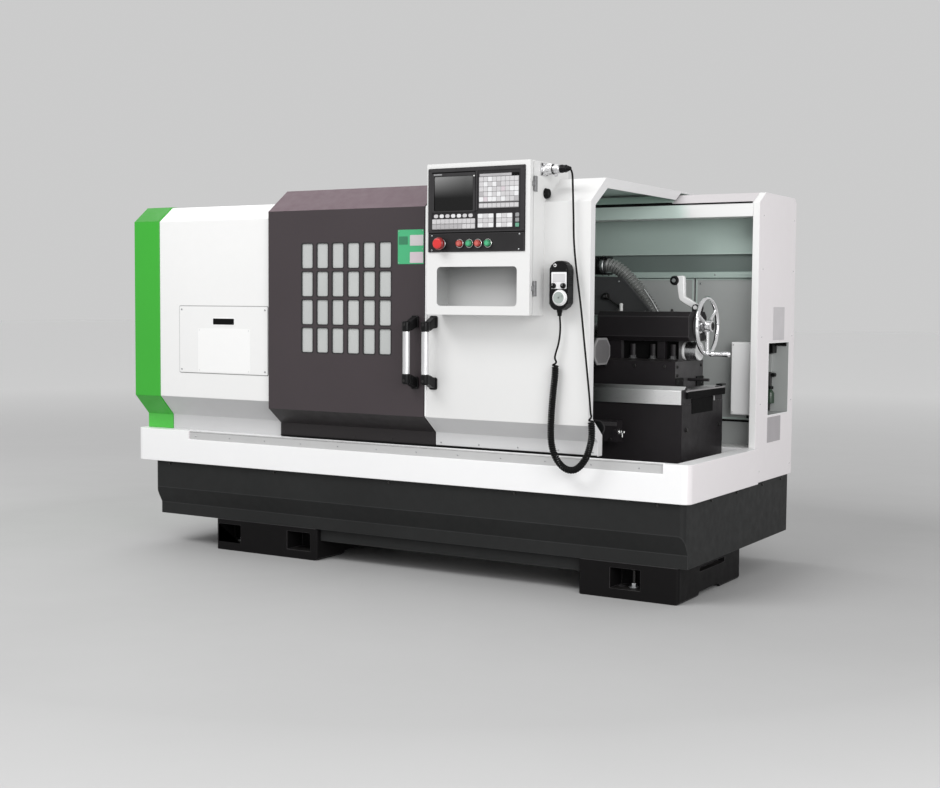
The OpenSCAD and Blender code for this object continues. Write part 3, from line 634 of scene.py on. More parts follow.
    def socket(self, c, d, r, h, mat="black_oxide", xf=None, n=24):
        """Socket head cap screw with a real hex recess."""
        t = bmesh.new()
        R = [[t.verts.new((q * cos(2 * pi * k / n), q * sin(2 * pi * k / n), z)) for k in range(n)] for q, z in ((r, 0), (r, h * 0.88), (r * 0.9, h), (r * 0.56, h))]
        hx = []
        for z in (h, h * 0.45):
            hx.append([])
            for k in range(n):
                a = 2 * pi * k / n
                q = r * 0.5 * cos(pi / 6) / cos((a % (pi / 3)) - pi / 6)
                hx[-1].append(t.verts.new((q * cos(a), q * sin(a), z - (0.001 if z == h else 0))))
        seq = R + hx
        for a, b in zip(seq, seq[1:]):
            for k in range(n):
                j = (k + 1) % n
                t.faces.new((a[k], a[j], b[j], b[k]))
        t.faces.new(seq[0])
        t.faces.new(seq[-1])
        bmesh.ops.recalc_face_normals(t, faces=t.faces)
        mt = dirmat(c, d)
        self._add(t, mat, (xf @ mt) if xf is not None else mt)

    def pan(self, c, d, r, mat="zinc", xf=None, turn=0.3):
        """Pan head screw with a cross slot."""
        h = r * 0.62
        prof = [(0, 0), (r, 0), (r * 0.98, h * 0.45), (r * 0.82, h * 0.82), (r * 0.5, h), (0, h * 1.05)]
        self.lathe(prof, mat, c, d, 24, xf)
        mt = dirmat(c, d) @ Matrix.Rotation(turn, 4, "Z")
        if xf is not None:
            mt = xf @ mt
        for s in (0, 1):
            q = mt @ Matrix.Rotation(s * pi / 2, 4, "Z")
            self.box((-r * 0.55, -r * 0.1, h * 0.9), (r * 0.55, r * 0.1, h * 1.09), "gap_black", 0.0, 1, q)

    def done(self, body, replaces=()):
        bmesh.ops.transform(self.bm, matrix=TO_M, verts=self.bm.verts)
        me = bpy.data.meshes.new(self.name)
        self.bm.to_mesh(me)
        self.bm.free()
        for k in self.mats:
            me.materials.append(M[k])
        return finish_piece(me, self.name, body, replaces)


def add_tube(t, pts, r, n, closed=False):
    """Tube with frames carried along, so that it doesn't twist. r is a number or a list."""
    q = len(pts)
    rad = r if isinstance(r, (list, tuple)) else [r] * q

    def tan(i):
        if closed:
            return (pts[(i + 1) % q] - pts[i - 1]).normalized()
        return (pts[min(i + 1, q - 1)] - pts[max(i - 1, 0)]).normalized()

    t0 = tan(0)
    ref = Vector((0, 0, 1)) if abs(t0.z) < 0.9 else Vector((1, 0, 0))
    nv = (ref - t0 * ref.dot(t0)).normalized()
    rings = []
    for i in range(q):
        ti = tan(i)
        nv = (nv - ti * nv.dot(ti)).normalized()
        bv = ti.cross(nv)
        rings.append([t.verts.new(pts[i] + rad[i] * (cos(2 * pi * k / n) * nv + sin(2 * pi * k / n) * bv)) for k in range(n)])
    for i in range(q if closed else q - 1):
        a, b = rings[i], rings[(i + 1) % q]
        s = 0
        if closed and i == q - 1:
            s = min(range(n), key=lambda s: (a[0].co - b[s].co).length)
        for k in range(n):
            j = (k + 1) % n
            t.faces.new((a[k], a[j], b[(j + s) % n], b[(k + s) % n]))
    if not closed:
        t.faces.new(rings[0])
        t.faces.new(rings[-1])
    bmesh.ops.recalc_face_normals(t, faces=t.faces)


def bake(ob):
    """Applies the object's modifiers."""
    dg = bpy.context.evaluated_depsgraph_get()
    me = bpy.data.meshes.new_from_object(ob.evaluated_get(dg), preserve_all_data_layers=True, depsgraph=dg)
    ob.modifiers.clear()
    old = ob.data
    ob.data = me
    bpy.data.meshes.remove(old)


def finish_piece(me, name, body, replaces=(), sharp=38):
    me.name = name
    me.shade_smooth()
    me.set_sharp_from_angle(angle=radians(sharp))
    ob = bpy.data.objects.new(name, me)
    bpy.context.scene.collection.objects.link(ob)
    w = ob.modifiers.new("wn", "WEIGHTED_NORMAL")
    w.keep_sharp = True
    w.weight = 50
    bake(ob)
    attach(ob, body)
    if replaces:
        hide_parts(*replaces)
    return ob


def skin(node, mats, width=1.0, seg=2, ang=27, edge=None, pick=None, merge=2e-6, cuts=()):
    """A softened copy of a CAD node: rounded edges, one or more finishes, the same place and size."""
    src = frame["nodes"][node]
    bm = bmesh.new()
    bm.from_mesh(src.data)
    bmesh.ops.remove_doubles(bm, verts=bm.verts, dist=merge)
    bmesh.ops.dissolve_limit(bm, angle_limit=radians(0.35), verts=bm.verts, edges=bm.edges)
    for ax, v in cuts:
        co = P(*[v if i == ax else 0 for i in range(3)])
        no = Vector([1.0 if i == ax else 0.0 for i in range(3)])
        bmesh.ops.bisect_plane(bm, geom=bm.verts[:] + bm.edges[:] + bm.faces[:], plane_co=co, plane_no=no)
    bm.normal_update()
    if pick:
        for f in bm.faces:
            c = f.calc_center_median() * 1000
            f.material_index = pick(c.x - OX, c.y - OY, c.z, f.normal)
    else:
        for f in bm.faces:
            f.material_index = 0
    me = bpy.data.meshes.new(node + "_skin")
    bm.to_mesh(me)
    bm.free()
    for k in mats:
        me.materials.append(M[k])
    if edge:
        me.materials.append(M[edge])
    me.shade_smooth()
    ob = bpy.data.objects.new(node + "_skin", me)
    bpy.context.scene.collection.objects.link(ob)
    if width:
        b = ob.modifiers.new("bevel", "BEVEL")
        b.limit_method = "ANGLE"
        b.angle_limit = radians(ang)
        b.width = width / 1000
        b.segments = seg
        b.use_clamp_overlap = True
        b.miter_outer = "MITER_ARC"
        if edge:
            b.material = len(mats)
        bake(ob)
    me = ob.data
    bpy.data.objects.remove(ob)
    return finish_piece(me, node + "_skin", BODY[node], (node,))


# ------------------------------------------------------------------ cord of the hand pendant
ROUTE_A = [(862, -677, 1640), (866, -677, 1638.5), (873, -679, 1628), (878, -682, 1610), (881, -686, 1586), (885, -690, 1540),
           (889, -692, 1460), (892, -692, 1370), (900, -692, 1290), (912, -692, 1205), (926, -692, 1110),
           (938, -692, 1010), (950, -692, 910), (963, -692, 800), (971, -692, 722)]
ROUTE_B = [(971, -692, 722), (977, -692, 640), (967, -692, 585), (948, -692, 540), (915, -692, 506), (880, -692, 500),
           (846, -692, 518), (819, -692, 556), (805, -692, 605), (803, -692, 660), (806, -692, 730), (812, -692, 800),
           (819, -692, 870), (817, -692, 928)]
ROUTE_C = [(817, -692, 928), (822, -692, 948), (831, -693, 974), (838, -694, 1010), (840, -695, 1050), (837, -696, 1092)]
WIRE = 7.6
HELIX = 10.2
PITCH = 8.6


def resample(pts, step):
    out = [pts[0].copy()]
    need = step
    for a, b in zip(pts, pts[1:]):
        d = (b - a).length
        while d > 0 and need <= d:
            out.append(a.lerp(b, need / d))
            need += step
        need -= d
    if (out[-1] - pts[-1]).length > step * 0.4:
        out.append(pts[-1].copy())
    return out


def cord_line():
    a = resample(spline(ROUTE_A, 8), 12.0)
    c = resample(spline(ROUTE_C, 8), 8.0)
    fine = resample(spline(ROUTE_B, 10), PITCH / 14)
    q = len(fine)
    coil = []
    # the winding opens out over its last 40 mm, so that the wire leaves it without a kink
    ang = 0.0
    for i, p in enumerate(fine):
        t = (fine[min(i + 1, q - 1)] - fine[max(i - 1, 0)]).normalized()
        nrm = Vector((0, 1, 0))
        nrm = (nrm - t * nrm.dot(t)).normalized()
        bi = t.cross(nrm)
        d = min(i, q - 1 - i) * PITCH / 14
        k = min(1.0, d / 40)
        k = k * k * (3 - 2 * k)
        g = min(1.0, max(0.0, (d - 20) / 24))
        g = 0.2 + 0.8 * g * g * (3 - 2 * g)
        coil.append(p + HELIX * k * (cos(ang) * nrm + sin(ang) * bi))
        ang += 2 * pi / 14 * g
    whole = a[:-1] + coil + c[1:]
    out = [whole[0]]
    for p in whole[1:]:
        if (p - out[-1]).length > 1.6:
            out.append(p)
    return out


line_mm = cord_line()
bm = bmesh.new()
add_tube(bm, line_mm, WIRE / 2, 8)
bmesh.ops.transform(bm, matrix=TO_M, verts=bm.verts)
me = bpy.data.meshes.new("pendant_cord")
bm.to_mesh(me)
bm.free()
me.materials.append(M["black_rubber"])
cord = finish_piece(me, "pendant_cord", "right_door", ("cord_upper", "cord_coil", "cord_lower"), sharp=80)


# ------------------------------------------------------------------ softened copies of the CAD nodes
# left hood: inner faces take the interior paint, upward slopes a paler mauve copy as a painted reflection of the light
# above, and lower front faces a darker copy as painted shade
def hood_pick(x, y, z, nv):
    if nv.y > 0.3 or (nv.z < -0.3 and z > 1400):
        return 1
    if nv.z > 0.3 and z > 1500:
        return 2
    return 3 if z < 668 and abs(nv.x) < 0.5 else 0


# right hood: side faces at the right end and inner faces there take white_frame, the roof underside takes a paler copy
# of the interior paint as painted light, and the lower chamfer and skirt a darker copy as painted shade
def right_hood_pick(x, y, z, nv):
    if abs(nv.x) > 0.5:
        return 2 if x > 900 else 0
    if (nv.y > 0.3 or (nv.z < -0.3 and z > 1400)):
        return 2 if x > 938 else (4 if z > 1480 else 1)
    return 3 if z < 668 else 0


# headstock cover: upward faces take a darker mauve copy of the white and lower front faces a darker grey copy, both
# painted shade
def low_pick(x, y, z, nv):
    if nv.z > 0.9 and z > 1500:
        return 2
    return 1 if z < 697 and nv.y < -0.3 else 0


skin("base_skirt", ["base_paint"], 3.0, 3, edge="base_edge")
skin("left_foot", ["foot_paint"], 2.2, 2, edge="cast_edge")
skin("right_foot", ["foot_paint"], 2.2, 2, edge="cast_edge")
# chip tray: faces turned to the right take a pink tinted copy of the white, painted shade
skin("chip_tray", ["white_tray", "white_side_shade"], 3.0, 3, pick=lambda x, y, z, n: 1 if n.x > 0.7 else 0)
skin("door_rail", ["rail_grey"], 1.2)
skin("headstock_cover", ["white_paint", "white_cover_low_shade", "white_top_shade"], 2.5, 3, pick=low_pick)
# green end cap: upward faces take a darker copy of the green, painted shade; the lower front block takes a lighter
# green
skin("headstock_end_cap", ["green_paint", "green_top_shade", "green_low"], 2.5, 3, pick=lambda x, y, z, n: 1 if n.z > 0.3 else (2 if z < 612 and n.y < -0.9 else 0))
skin("inspection_panel", ["white_paint"], 0.8)
skin("headstock", ["cast_paint"], 4.0, 3, edge="cast_edge")
skin("chuck", ["ground_steel"], 1.4, 2)
skin("bed", ["cast_paint"], 3.0, 2, edge="cast_edge")
skin("bed_ways", ["way_steel", "cast_paint"], 0.9, 2, pick=lambda x, y, z, n: 1 if n.x > 0.9 else 0)
skin("bed_end_cap", ["black_plastic"], 1.0, 2)
skin("carriage", ["cast_paint"], 2.5, 2, edge="cast_edge")
skin("turret", ["cover_grey", "ground_steel", "cast_grey"], 2.0, 2,
     pick=lambda x, y, z, n: 2 if x > 700 else (1 if z > 1080 or y < -290 else 0))
skin("turret_cover", ["cover_grey"], 1.2, 2)
skin("conduit_fittings", ["black_plastic"], 1.5, 2)
# tailstock base: faces turned to the right take the paler cast grey, painted light
skin("tailstock_base", ["cast_paint", "cast_grey"], 3.0, 2, edge="cast_edge",
     pick=lambda x, y, z, n: 1 if n.x > 0.7 else 0)
skin("tailstock_body", ["cast_paint"], 4.0, 3, edge="cast_edge")
skin("tailstock_quill", ["turned_steel"], 0.8, 2)
skin("rear_cabinet", ["white_paint"], 2.0, 2, edge="white_edge")
# top beam: upward faces a darker mauve copy as painted shade, the slope under the left hood roof a paler copy as
# painted light, and the front face a grey green to white blend as a painted shadow of the hood roof
skin("top_beam", ["white_paint", "white_top_shade", "beam_hood_shadow", "roof_inside_lit"], 2.2, 2, cuts=((0, -545.0), (0, 940.0)),
     pick=lambda x, y, z, n: (3 if n.y < -0.3 and -545 < x < 940 else 1) if n.z > 0.5 else (2 if n.y < -0.6 and y < 180 else 0))
# right wing: faces left of x 1299 are grey, and outer faces turned to the right take a pink tinted copy of the white,
# painted shade
skin("right_wing", ["white_paint", "interior_grey", "white_side_shade"], 2.2, 2,
     pick=lambda x, y, z, n: 1 if (x < 1301 and 250 < y < 540 and 655 < z < 985) or (x < 1299) else (2 if n.x > 0.5 else 0))
# back wall: below 1243 mm grey, the band up to 1345 mm a darker copy as painted shade in the recess, above it grey
# green
skin("back_wall", ["interior_paint", "interior_grey", "interior_band_shade"], 1.2, 2,
     pick=lambda x, y, z, n: 1 if z < 1242 else (2 if z < 1345 else 0), cuts=((2, 1243),))
skin("back_rail", ["interior_paint"], 1.2, 2)
skin("electrical_box", ["white_edge"], 1.8, 3)
skin("left_hood", ["dark_paint", "interior_paint", "dark_slope_reflection", "dark_low_shade"], 1.8, 2, pick=hood_pick)
skin("left_hood_panes", ["pane"], 0.5, 1)
skin("green_plate", ["plate_green"], 0.4, 1)
skin("right_hood", ["white_door", "interior_paint", "white_frame", "white_low_shade", "roof_inside_lit"], 1.8, 2, pick=right_hood_pick)
skin("control_box", ["white_door", "hinge_grey", "black_rubber"], 1.5, 2,
     pick=lambda x, y, z, n: (2 if y > -700 else 1) if x > 752.6 else 0)
skin("pendant_bracket", ["zinc"], 0.5, 1)
skin("panel_door", ["white_door", "pocket_shaded_grey", "hinge_grey"], 1.5, 2,
     pick=lambda x, y, z, n: 2 if x > 752.6 or y < -781.5 else (1 if (y > -780.5 and 338 < x < 698 and 1118 < z < 1272 and y < -690.5) else 0))
skin("operator_panel", ["panel_face"], 0.6, 2)
skin("screen", ["screen_glass"], 0.5, 2)
skin("pendant_body", ["black_plastic"], 2.0, 3)

# ------------------------------------------------------------------ details: hood handles
def door_handle(x, node, body):
    k = Kit(node + "_detail")
    k.lathe([(0, 0), (14.0, 0), (14.8, 1.6), (14.8, 190.4), (14.0, 192), (0, 192)], "bar_steel", (x, -735, 834), (0, 0, 1), 48)
    for s in (0, 1):
        xf = Matrix(((1, 0, 0, 0), (0, 1, 0, 0), (0, 0, -1, 1860), (0, 0, 0, 1))) if s else None
        k.prism([(-668, 784), (-668, 826), (-690, 832), (-712, 841), (-735, 841), (-735, 809), (-714, 803), (-694, 792)],
                "x", x - 14, x + 14, "black_plastic", 3.5, 3, xf)
        k.prism(rr((x - 18, 781), (x + 18, 831), 8), "y", -677, -668, "black_plastic", 3, 3, xf)
        k.lathe([(0, 0), (12, 0), (15.5, 2), (17.4, 6), (17.4, 34), (16.8, 39), (15.6, 41), (14.6, 41), (14.6, 30), (0, 30)], "black_plastic", (x, -735, 803), (0, 0, 1), 40, xf)
        k.ring((x, -735, 842.5), (0, 0, 1), 14.6, 16.6, 2.2, "black_oxide", 0.6, 40, xf)
        k.socket((x, -751.6, 818), (0, -1, 0), 5.2, 2.2, "black_oxide", xf)
        for z in (786.5, 826):
            for dx in (-13.2, 13.2):
                k.rod((x + dx, -677, z - (0 if z < 800 else 1.5)), (0, -1, 0), 2.6, 1.2, "black_oxide", 0.4, 16, xf)
    k.done(body, (node,))


door_handle(166, "left_handle", "left_door")
door_handle(256, "right_handle", "right_door")

# ------------------------------------------------------------------ details: operator panel
k = Kit("panel_detail")
k.prism(rr((302.5, 1404), (729.5, 1650), 3), "y", -785.1, -784, "panel_face", 0.4, 1)
k.prism(rr((302.5, 1330.5), (729.5, 1399.5), 3), "y", -785.1, -784, "panel_low", 0.4, 1)
k.box((301.5, -784.35, 1399), (730.5, -784, 1404.5), "gap_black", 0)
k.hollow(rr((301.5, 1404), (730.5, 1651), 3), rr((318, 1409.5), (713, 1637), 3), "y", -787.6, -784.1, "panel_frame")
k.hollow(rr((301.5, 1329), (730.5, 1400), 3), rr((305, 1332.5), (727, 1396.5), 2), "y", -785.9, -784.1, "panel_frame")
k.hollow(rr((319, 1481.5), (514.5, 1632), 5), rr((328.5, 1487), (505.5, 1621), 5), "y", -788.8, -784.2, "panel_frame")
k.hollow(rr((326.5, 1485), (507.5, 1623), 5), rr((329.5, 1488), (504.5, 1620), 5), "y", -788.0, -785.5, "gap_black")
k.box((321, -787.9, 1633.5), (512, -785, 1636.5), "gap_black", 0.3, 1)
k.box((327, -789.3, 1624.4), (365, -788.5, 1630.0), "key_grey", 0.3, 1)
k.rod((510.2, -788.6, 1618), (0, -1, 0), 3.0, 1.4, "white_plastic", 0.5, 20)
# keypad on the right: header strip, dark window, five rows of nine keys and one lower strip
k.box((516.5, -787.8, 1486), (524.5, -784.2, 1636), "panel_frame", 1.0, 2)
k.box((533.5, -787.4, 1613.4), (673.5, -785.4, 1623.4), "key_dull", 0.5, 1)
k.box((675.5, -788.0, 1611.8), (705.5, -785.4, 1624.0), "gap_black", 0.6, 1)
# paler bed between the keys
k.prism(rr((531, 1515.5), (706, 1612.5), 3), "y", -786.9, -785, "key_bed", 0.4, 1)
k.prism(rr((531, 1493), (706, 1513), 3), "y", -786.9, -785, "key_bed", 0.4, 1)
k.prism(rr((319, 1416), (515, 1456), 3), "y", -786.7, -785, "key_bed", 0.4, 1)
for x0 in (538.0, 620.0):
    k.prism(rr((x0 - 12, 1419), (x0 + 59, 1472.5), 3), "y", -786.9, -785, "key_bed", 0.4, 1)
tones = ("key_pale", "key_pale", "key_white", "key_pale", "key_pale", "key_rose", "key_pale", "key_white", "key_pale", "key_pale", "key_dull")
q = 0
for r in range(5):
    for c in range(9):
        x, z = 541.4 + 19.25 * c, 1602.3 - 18.9 * r
        q = (q * 7 + 3 * c + 5 * r + 1) % 11
        k.prism(rr((x - 8.9, z - 8.6), (x + 8.9, z + 8.6), 2.0, 3), "y", -788.1, -785.9, tones[q], 0.7, 2)
for c in range(9):
    x = 541.4 + 19.25 * c
    k.prism(rr((x - 8.6, 1495.5), (x + 8.6, 1510.5), 2.2, 3), "y", -787.9, -785.9, "key_pale", 0.7, 2)
# seven round keys and two rows of ten under the screen
for c in range(7):
    x = 337.6 + 26.2 * c
    k.prism(rr((x - 9.6, 1460), (x + 9.6, 1474), 6.4, 6), "y", -788.2, -785.9, "key_white" if c in (1, 3, 4) else "key_pale", 0.9, 2)
for c in range(10):
    x = 329.6 + 19.5 * c
    for z, t in ((1446.4, "key_pale"), (1426.2, "key_dull" if c < 7 else "key_pale")):
        k.prism(rr((x - 9.0, z - 8.6), (x + 9.0, z + 8.6), 2, 3), "y", -787.8, -785.9, t, 0.7, 2)
# two blocks of three by three and a column of three
for x0 in (538.0, 620.0):
    for r in range(3):
        for c in range(3):
            x, z = x0 + 23.4 * c, 1463.6 - 17.6 * r
            k.prism(rr((x - 10.9, z - 8.0), (x + 10.9, z + 8.0), 2.0, 3), "y", -788.0, -785.9, "key_white" if (r, c) in ((0, 2), (2, 0), (2, 2), (0, 0)) else "key_pale", 0.8, 2)
for r, t in enumerate(("key_grey", "key_grey", "key_green")):
    z = 1465 - 19 * r
    k.prism(rr((691.8, z - 7.5), (708.2, z + 7.5), 3, 4), "y", -788.0, -785.9, t, 0.8, 2)
for x, z in ((317.5, 1391.8), (709.4, 1392.2), (317.5, 1335.2), (706.5, 1335.5)):
    k.pan((x, -785.0, z), (0, -1, 0), 3.6, "zinc")
for x, z in ((307.5, 1644.5), (725, 1644.5), (307.5, 1410.5), (725, 1410.5)):
    k.pan((x, -787.5, z), (0, -1, 0), 2.8, "black_oxide")
# bright bezels round the four buttons, dark collar of the emergency stop
for x in (448, 491, 530, 574):
    k.ring((x, -784.2, 1360), (0, -1, 0), 14.2, 17.0, 7.6, "bright_steel", 0.9, 48)
    k.ring((x, -784.2, 1360), (0, -1, 0), 16.6, 18.6, 2.0, "black_rubber", 0.5, 40)
k.ring((364, -784.4, 1360), (0, -1, 0), 9.5, 21.5, 3.0, "black_plastic", 0.8, 48)
k.ring((364, -787.0, 1360), (0, -1, 0), 10.0, 19.0, 4.4, "satin_steel", 0.8, 48)
k.done("control_door")

k = Kit("estop_detail")
k.rod((364, -801, 1360), (0, 1, 0), 7.6, 23, "black_plastic", 0.5, 32)
# darker red on the outer rim of the mushroom, painted shade on its side
k.lathe([(0, 0), (17.5, 0), (18.2, 3.0), (23.6, 4.2), (24.5, 6.4), (24.5, 11.5), (23.8, 14.4), (22.0, 17.0), (19.8, 18.8), (18.6, 19.4)], "red_shaded_rim", (364, -800, 1360), (0, -1, 0), 56)
k.lathe([(0, 18.6), (19.6, 18.6), (19.2, 21.0), (18.6, 23.6), (17.2, 24.8), (15.0, 25.0), (0, 24.6)], "red_plastic", (364, -800, 1360), (0, -1, 0), 56)
k.done("emergency_stop", ("estop_button",))

for i, x in enumerate((448, 491, 530, 574)):
    k = Kit(f"push_button_{i + 1}_detail")
    mat = "red_lens" if i % 2 == 0 else "green_lens"
    k.rod((x, -789, 1360), (0, 1, 0), 5, 16, "black_plastic", 0.3, 24)
    k.lathe([(0, 0), (12.2, 0), (12.6, 0.6), (12.6, 10.6), (12.0, 12.2), (10.6, 13.2), (9.6, 13.3), (8.9, 12.9), (0, 12.5)], mat, (x, -788.9, 1360), (0, -1, 0), 48)
    k.rod((x, -801.4, 1360), (0, -1, 0), 7.6, 0.5, "lens_light_r" if i % 2 == 0 else "lens_light_g", 0.2, 32)
    k.done(f"button_{i + 1}", (f"push_button_{i + 1}",))

# ------------------------------------------------------------------ details: control box, cable, pendant
k = Kit("control_box_detail")
for z in (1159, 1554):
    k.box((751.6, -753.5, z - 1), (754.2, -727, z + 57), "hinge_grey", 0.8, 2)
    for dz in (8, 28, 48):
        k.pan((754.0, -737, z + dz), (1, 0, 0), 3.4, "hinge_grey")
    for dz in (0, 38):
        k.rod((760, -757, z + dz - 0.2), (0, 0, 1), 5.0, 18.4, "hinge_grey", 0.6, 28)
    k.box((752, -756.9, z), (759, -746, z + 18), "hinge_grey", 0.8, 2)
    k.box((752, -756.9, z + 38), (759, -746, z + 56), "hinge_grey", 0.8, 2)
k.lathe([(0, 0), (18.4, 0), (18.6, 1.2), (18.4, 11), (16.6, 15), (11.0, 17), (9.6, 15.6), (0, 15.4)], "black_rubber", (752, -659, 1551), (1, 0, 0), 48)
k.ring((751.9, -659, 1551), (1, 0, 0), 16.5, 20.4, 2.6, "black_rubber", 1.0, 48)
# seam of the top cover and its screws
k.box((299, -753, 1669.2), (745, -520, 1670.2), "white_edge", 0.4, 1)
for x in (330, 522, 714):
    k.pan((x, -560, 1669.9), (0, 0, 1), 4.2, "zinc")
    k.pan((x, -730, 1669.9), (0, 0, 1), 4.2, "zinc")
# vent slots in the left side of the box
for n in range(9):
    k.prism(rr((-735, 1240 + 22 * n), (-690, 1246 + 22 * n), 2.9, 4), "x", 291.2, 292.2, "gap_black", 0, 1)
k.done("right_door")

k = Kit("connector_detail")
k.prism(rr((-703, 1615), (-651, 1665), 7, 5), "x", 752, 755.2, "satin_steel", 0.9, 2)
for y in (-697, -657):
    for z in (1621, 1659):
        k.socket((755, y, z), (1, 0, 0), 3.4, 2.6, "black_oxide")
k.lathe([(0, 0), (22.5, 0), (22.5, 9), (21, 10.5), (18.6, 10.5), (18.6, 14), (20.6, 15.5), (20.6, 40), (19.4, 42), (16.2, 42), (16.2, 47), (17.4, 48.5), (17.4, 66), (16, 68), (13.2, 68),
         (13.2, 74), (0, 74)], "bright_satin", (753, -677, 1640), (1, 0, 0), 56)
for n in range(36):
    a = 2 * pi * n / 36
    k.box((772, -0.8, 20.2), (790, 0.8, 21.3), "bright_satin", 0.25, 1, Matrix.Translation((0, -677, 1640)) @ Matrix.Rotation(a, 4, "X"))
for n in range(28):
    a = 2 * pi * n / 28
    k.box((826, -0.7, 14.7), (835, 0.7, 15.6), "black_plastic", 0.2, 1, Matrix.Translation((0, -677, 1640)) @ Matrix.Rotation(a, 4, "X"))
k.lathe([(0, 0), (14.6, 0), (15.0, 1.4), (15.0, 12), (13.6, 14), (13.6, 17), (14.4, 18), (14.4, 26), (12.6, 28), (10.8, 29), (10.2, 33), (0, 33)], "black_plastic", (824, -677, 1640), (1, 0, 0), 40)
k.ring((793.4, -677, 1640), (1, 0, 0), 15, 20.0, 2.4, "gap_black", 0.4, 40)
k.lathe([(0, 0), (10.4, 0), (10.6, 3), (8.6, 6), (7.8, 8), (8.2, 9), (6.8, 12), (5.6, 13.4), (0, 13.4)], "black_rubber", (855, -677, 1640), (1, 0, 0), 32)
# small locking tab under the connector
k.box((800, -681, 1612), (812, -673, 1625), "satin_steel", 1.6, 2)
k.rod((806, -682.4, 1616), (0, 1, 0), 3.0, 10.8, "satin_steel", 0.6, 20)
k.done("right_door", ("cable_connector",))

k = Kit("pendant_detail")
# face plate, blank field, two selector knobs, scale ring and cord boot
k.prism(rr((815.6, 1186.6), (879.4, 1249.4), 3), "y", -725.4, -723.6, "pendant_plate", 0.4, 1)
k.prism(rr((821, 1212), (874, 1243.5), 2), "y", -725.8, -725.2, "pendant_field", 0.2, 1)
for x in (825.5, 867):
    k.lathe([(0, 0), (10.6, 0), (10.6, 2), (9.2, 2.6), (9.0, 9.4), (8.2, 10.4), (0, 10.4)], "black_plastic", (x, -725, 1198), (0, -1, 0), 32)
    k.box((x - 2.4, -737.5, 1189.8), (x + 2.4, -734, 1206.4), "black_plastic", 0.8, 2)
    k.box((x - 0.6, -737.8, 1198), (x + 0.6, -737.3, 1205.6), "white_plastic", 0.1, 1)
    for a in range(5):
        t = radians(-60 + 30 * a)
        k.box((x + 13.0 * sin(t) - 0.5, -726.2, 1198 + 13.0 * cos(t) - 0.5), (x + 13.0 * sin(t) + 0.5, -725.3, 1198 + 13.0 * cos(t) + 0.5), "gap_black", 0, 1)
k.ring((852, -723.6, 1153), (0, -1, 0), 24.5, 30.6, 3.0, "pendant_white", 0.7, 64)
for n in range(50):
    a = 2 * pi * n / 50
    h = 3.0 if n % 5 == 0 else 1.7
    k.box((-0.25, -726.9, 30.0 - h), (0.25, -726.5, 30.0), "gap_black", 0, 1, Matrix.Translation((852, 0, 1153)) @ Matrix.Rotation(a, 4, "Y"))
for x, z in ((812, 1258), (878, 1258), (812, 1126), (878, 1126)):
    k.pan((x, -721.9, z), (0, -1, 0), 2.9, "black_oxide")
# domed top with a hanging eye, grip ribs on both sides
k.prism([(812, 1270), (818, 1284), (832, 1292), (856, 1293), (872, 1286), (880, 1272), (872, 1264), (820, 1264)], "y", -719, -683, "black_plastic", 4, 3)
k.rod((829, -719.6, 1275), (0, -1, 0), 6.2, 3.4, "pendant_white", 0.8, 28)
k.rod((829, -723.0, 1275), (0, -1, 0), 3.6, 0.6, "gap_black", 0.2, 20)
k.box((866, -721.8, 1130), (884.8, -700, 1180), "black_plastic", 2.0, 2)
for n in range(9):
    for x in (805.0, 883.4):
        k.box((x, -716, 1196 + 7 * n), (x + 2.6, -684, 1199.4 + 7 * n), "black_rubber", 0.7, 2)
k.lathe([(0, 0), (7.0, 0), (8.4, 3), (7.6, 5), (9.2, 8), (8.4, 10), (10.2, 14), (10.8, 19), (12.0, 26), (0, 26)], "black_rubber", (837, -696, 1084), (0, 0, 1), 32)
k.done("right_door")

k = Kit("pendant_dial_detail")
k.lathe([(0, 0), (25.0, 0), (26.0, 0.8), (26.0, 8.6), (25.2, 10.4), (23.4, 11.4), (21.4, 11.4), (20.6, 10.2), (0, 10.2)], "pendant_white", (852, -724.6, 1153), (0, -1, 0), 64)
for n in range(60):
    a = 2 * pi * n / 60
    k.box((-0.55, -732.6, 25.7), (0.55, -726.6, 26.5), "pendant_white", 0.2, 1, Matrix.Translation((852, 0, 1153)) @ Matrix.Rotation(a, 4, "Y"))
k.rod((852, -735.4, 1153), (0, -1, 0), 22.4, 1.0, "dial_grey", 0.4, 56)
k.lathe([(0, 0), (4.0, 0), (3.0, 1.6), (2.8, 3.8), (3.8, 5.0), (3.6, 6.2), (0, 6.6)], "dial_grey", (864, -735.6, 1163), (0, -1, 0), 24)
k.rod((852, -735.2, 1153), (0, -1, 0), 3.2, 1.2, "satin_steel", 0.4, 24)
k.done("pulse_dial", ("pendant_dial",))

# ------------------------------------------------------------------ details: headstock cover, green cap, hoods
k = Kit("cover_detail")
# black sheet in the grip slot, painted shade in its recess
k.prism(rr((-924.5, 1026.5), (-800.5, 1055.5), 4), "y", -652.4, -650.02, "gap_black", 0.3, 1)
k.hollow(rr((-927, 1024), (-798, 1058), 5), rr((-923.5, 1027.5), (-801.5, 1054.5), 4), "y", -653.9, -652.2, "white_edge")
k.hollow(rr((-1125.5, 806.5), (-609.5, 1111.5), 8), rr((-1121.8, 810.2), (-613.2, 1107.8), 6), "y", -650.45, -650.0, "seam_grey")
k.prism(rr((-1012, 814), (-711, 1010), 5), "y", -653.5, -652.9, "cover_plate", 0.2, 1)
for x, z in ((-1108, 824), (-1108, 1094), (-627, 824), (-627, 1094)):
    k.pan((x, -652.9, z), (0, -1, 0), 4.2, "zinc")
for x, z in ((-1004, 822), (-1004, 1002), (-719, 822), (-719, 1002)):
    k.rod((x, -653.3, z), (0, -1, 0), 2.0, 0.7, "zinc", 0.25, 16)
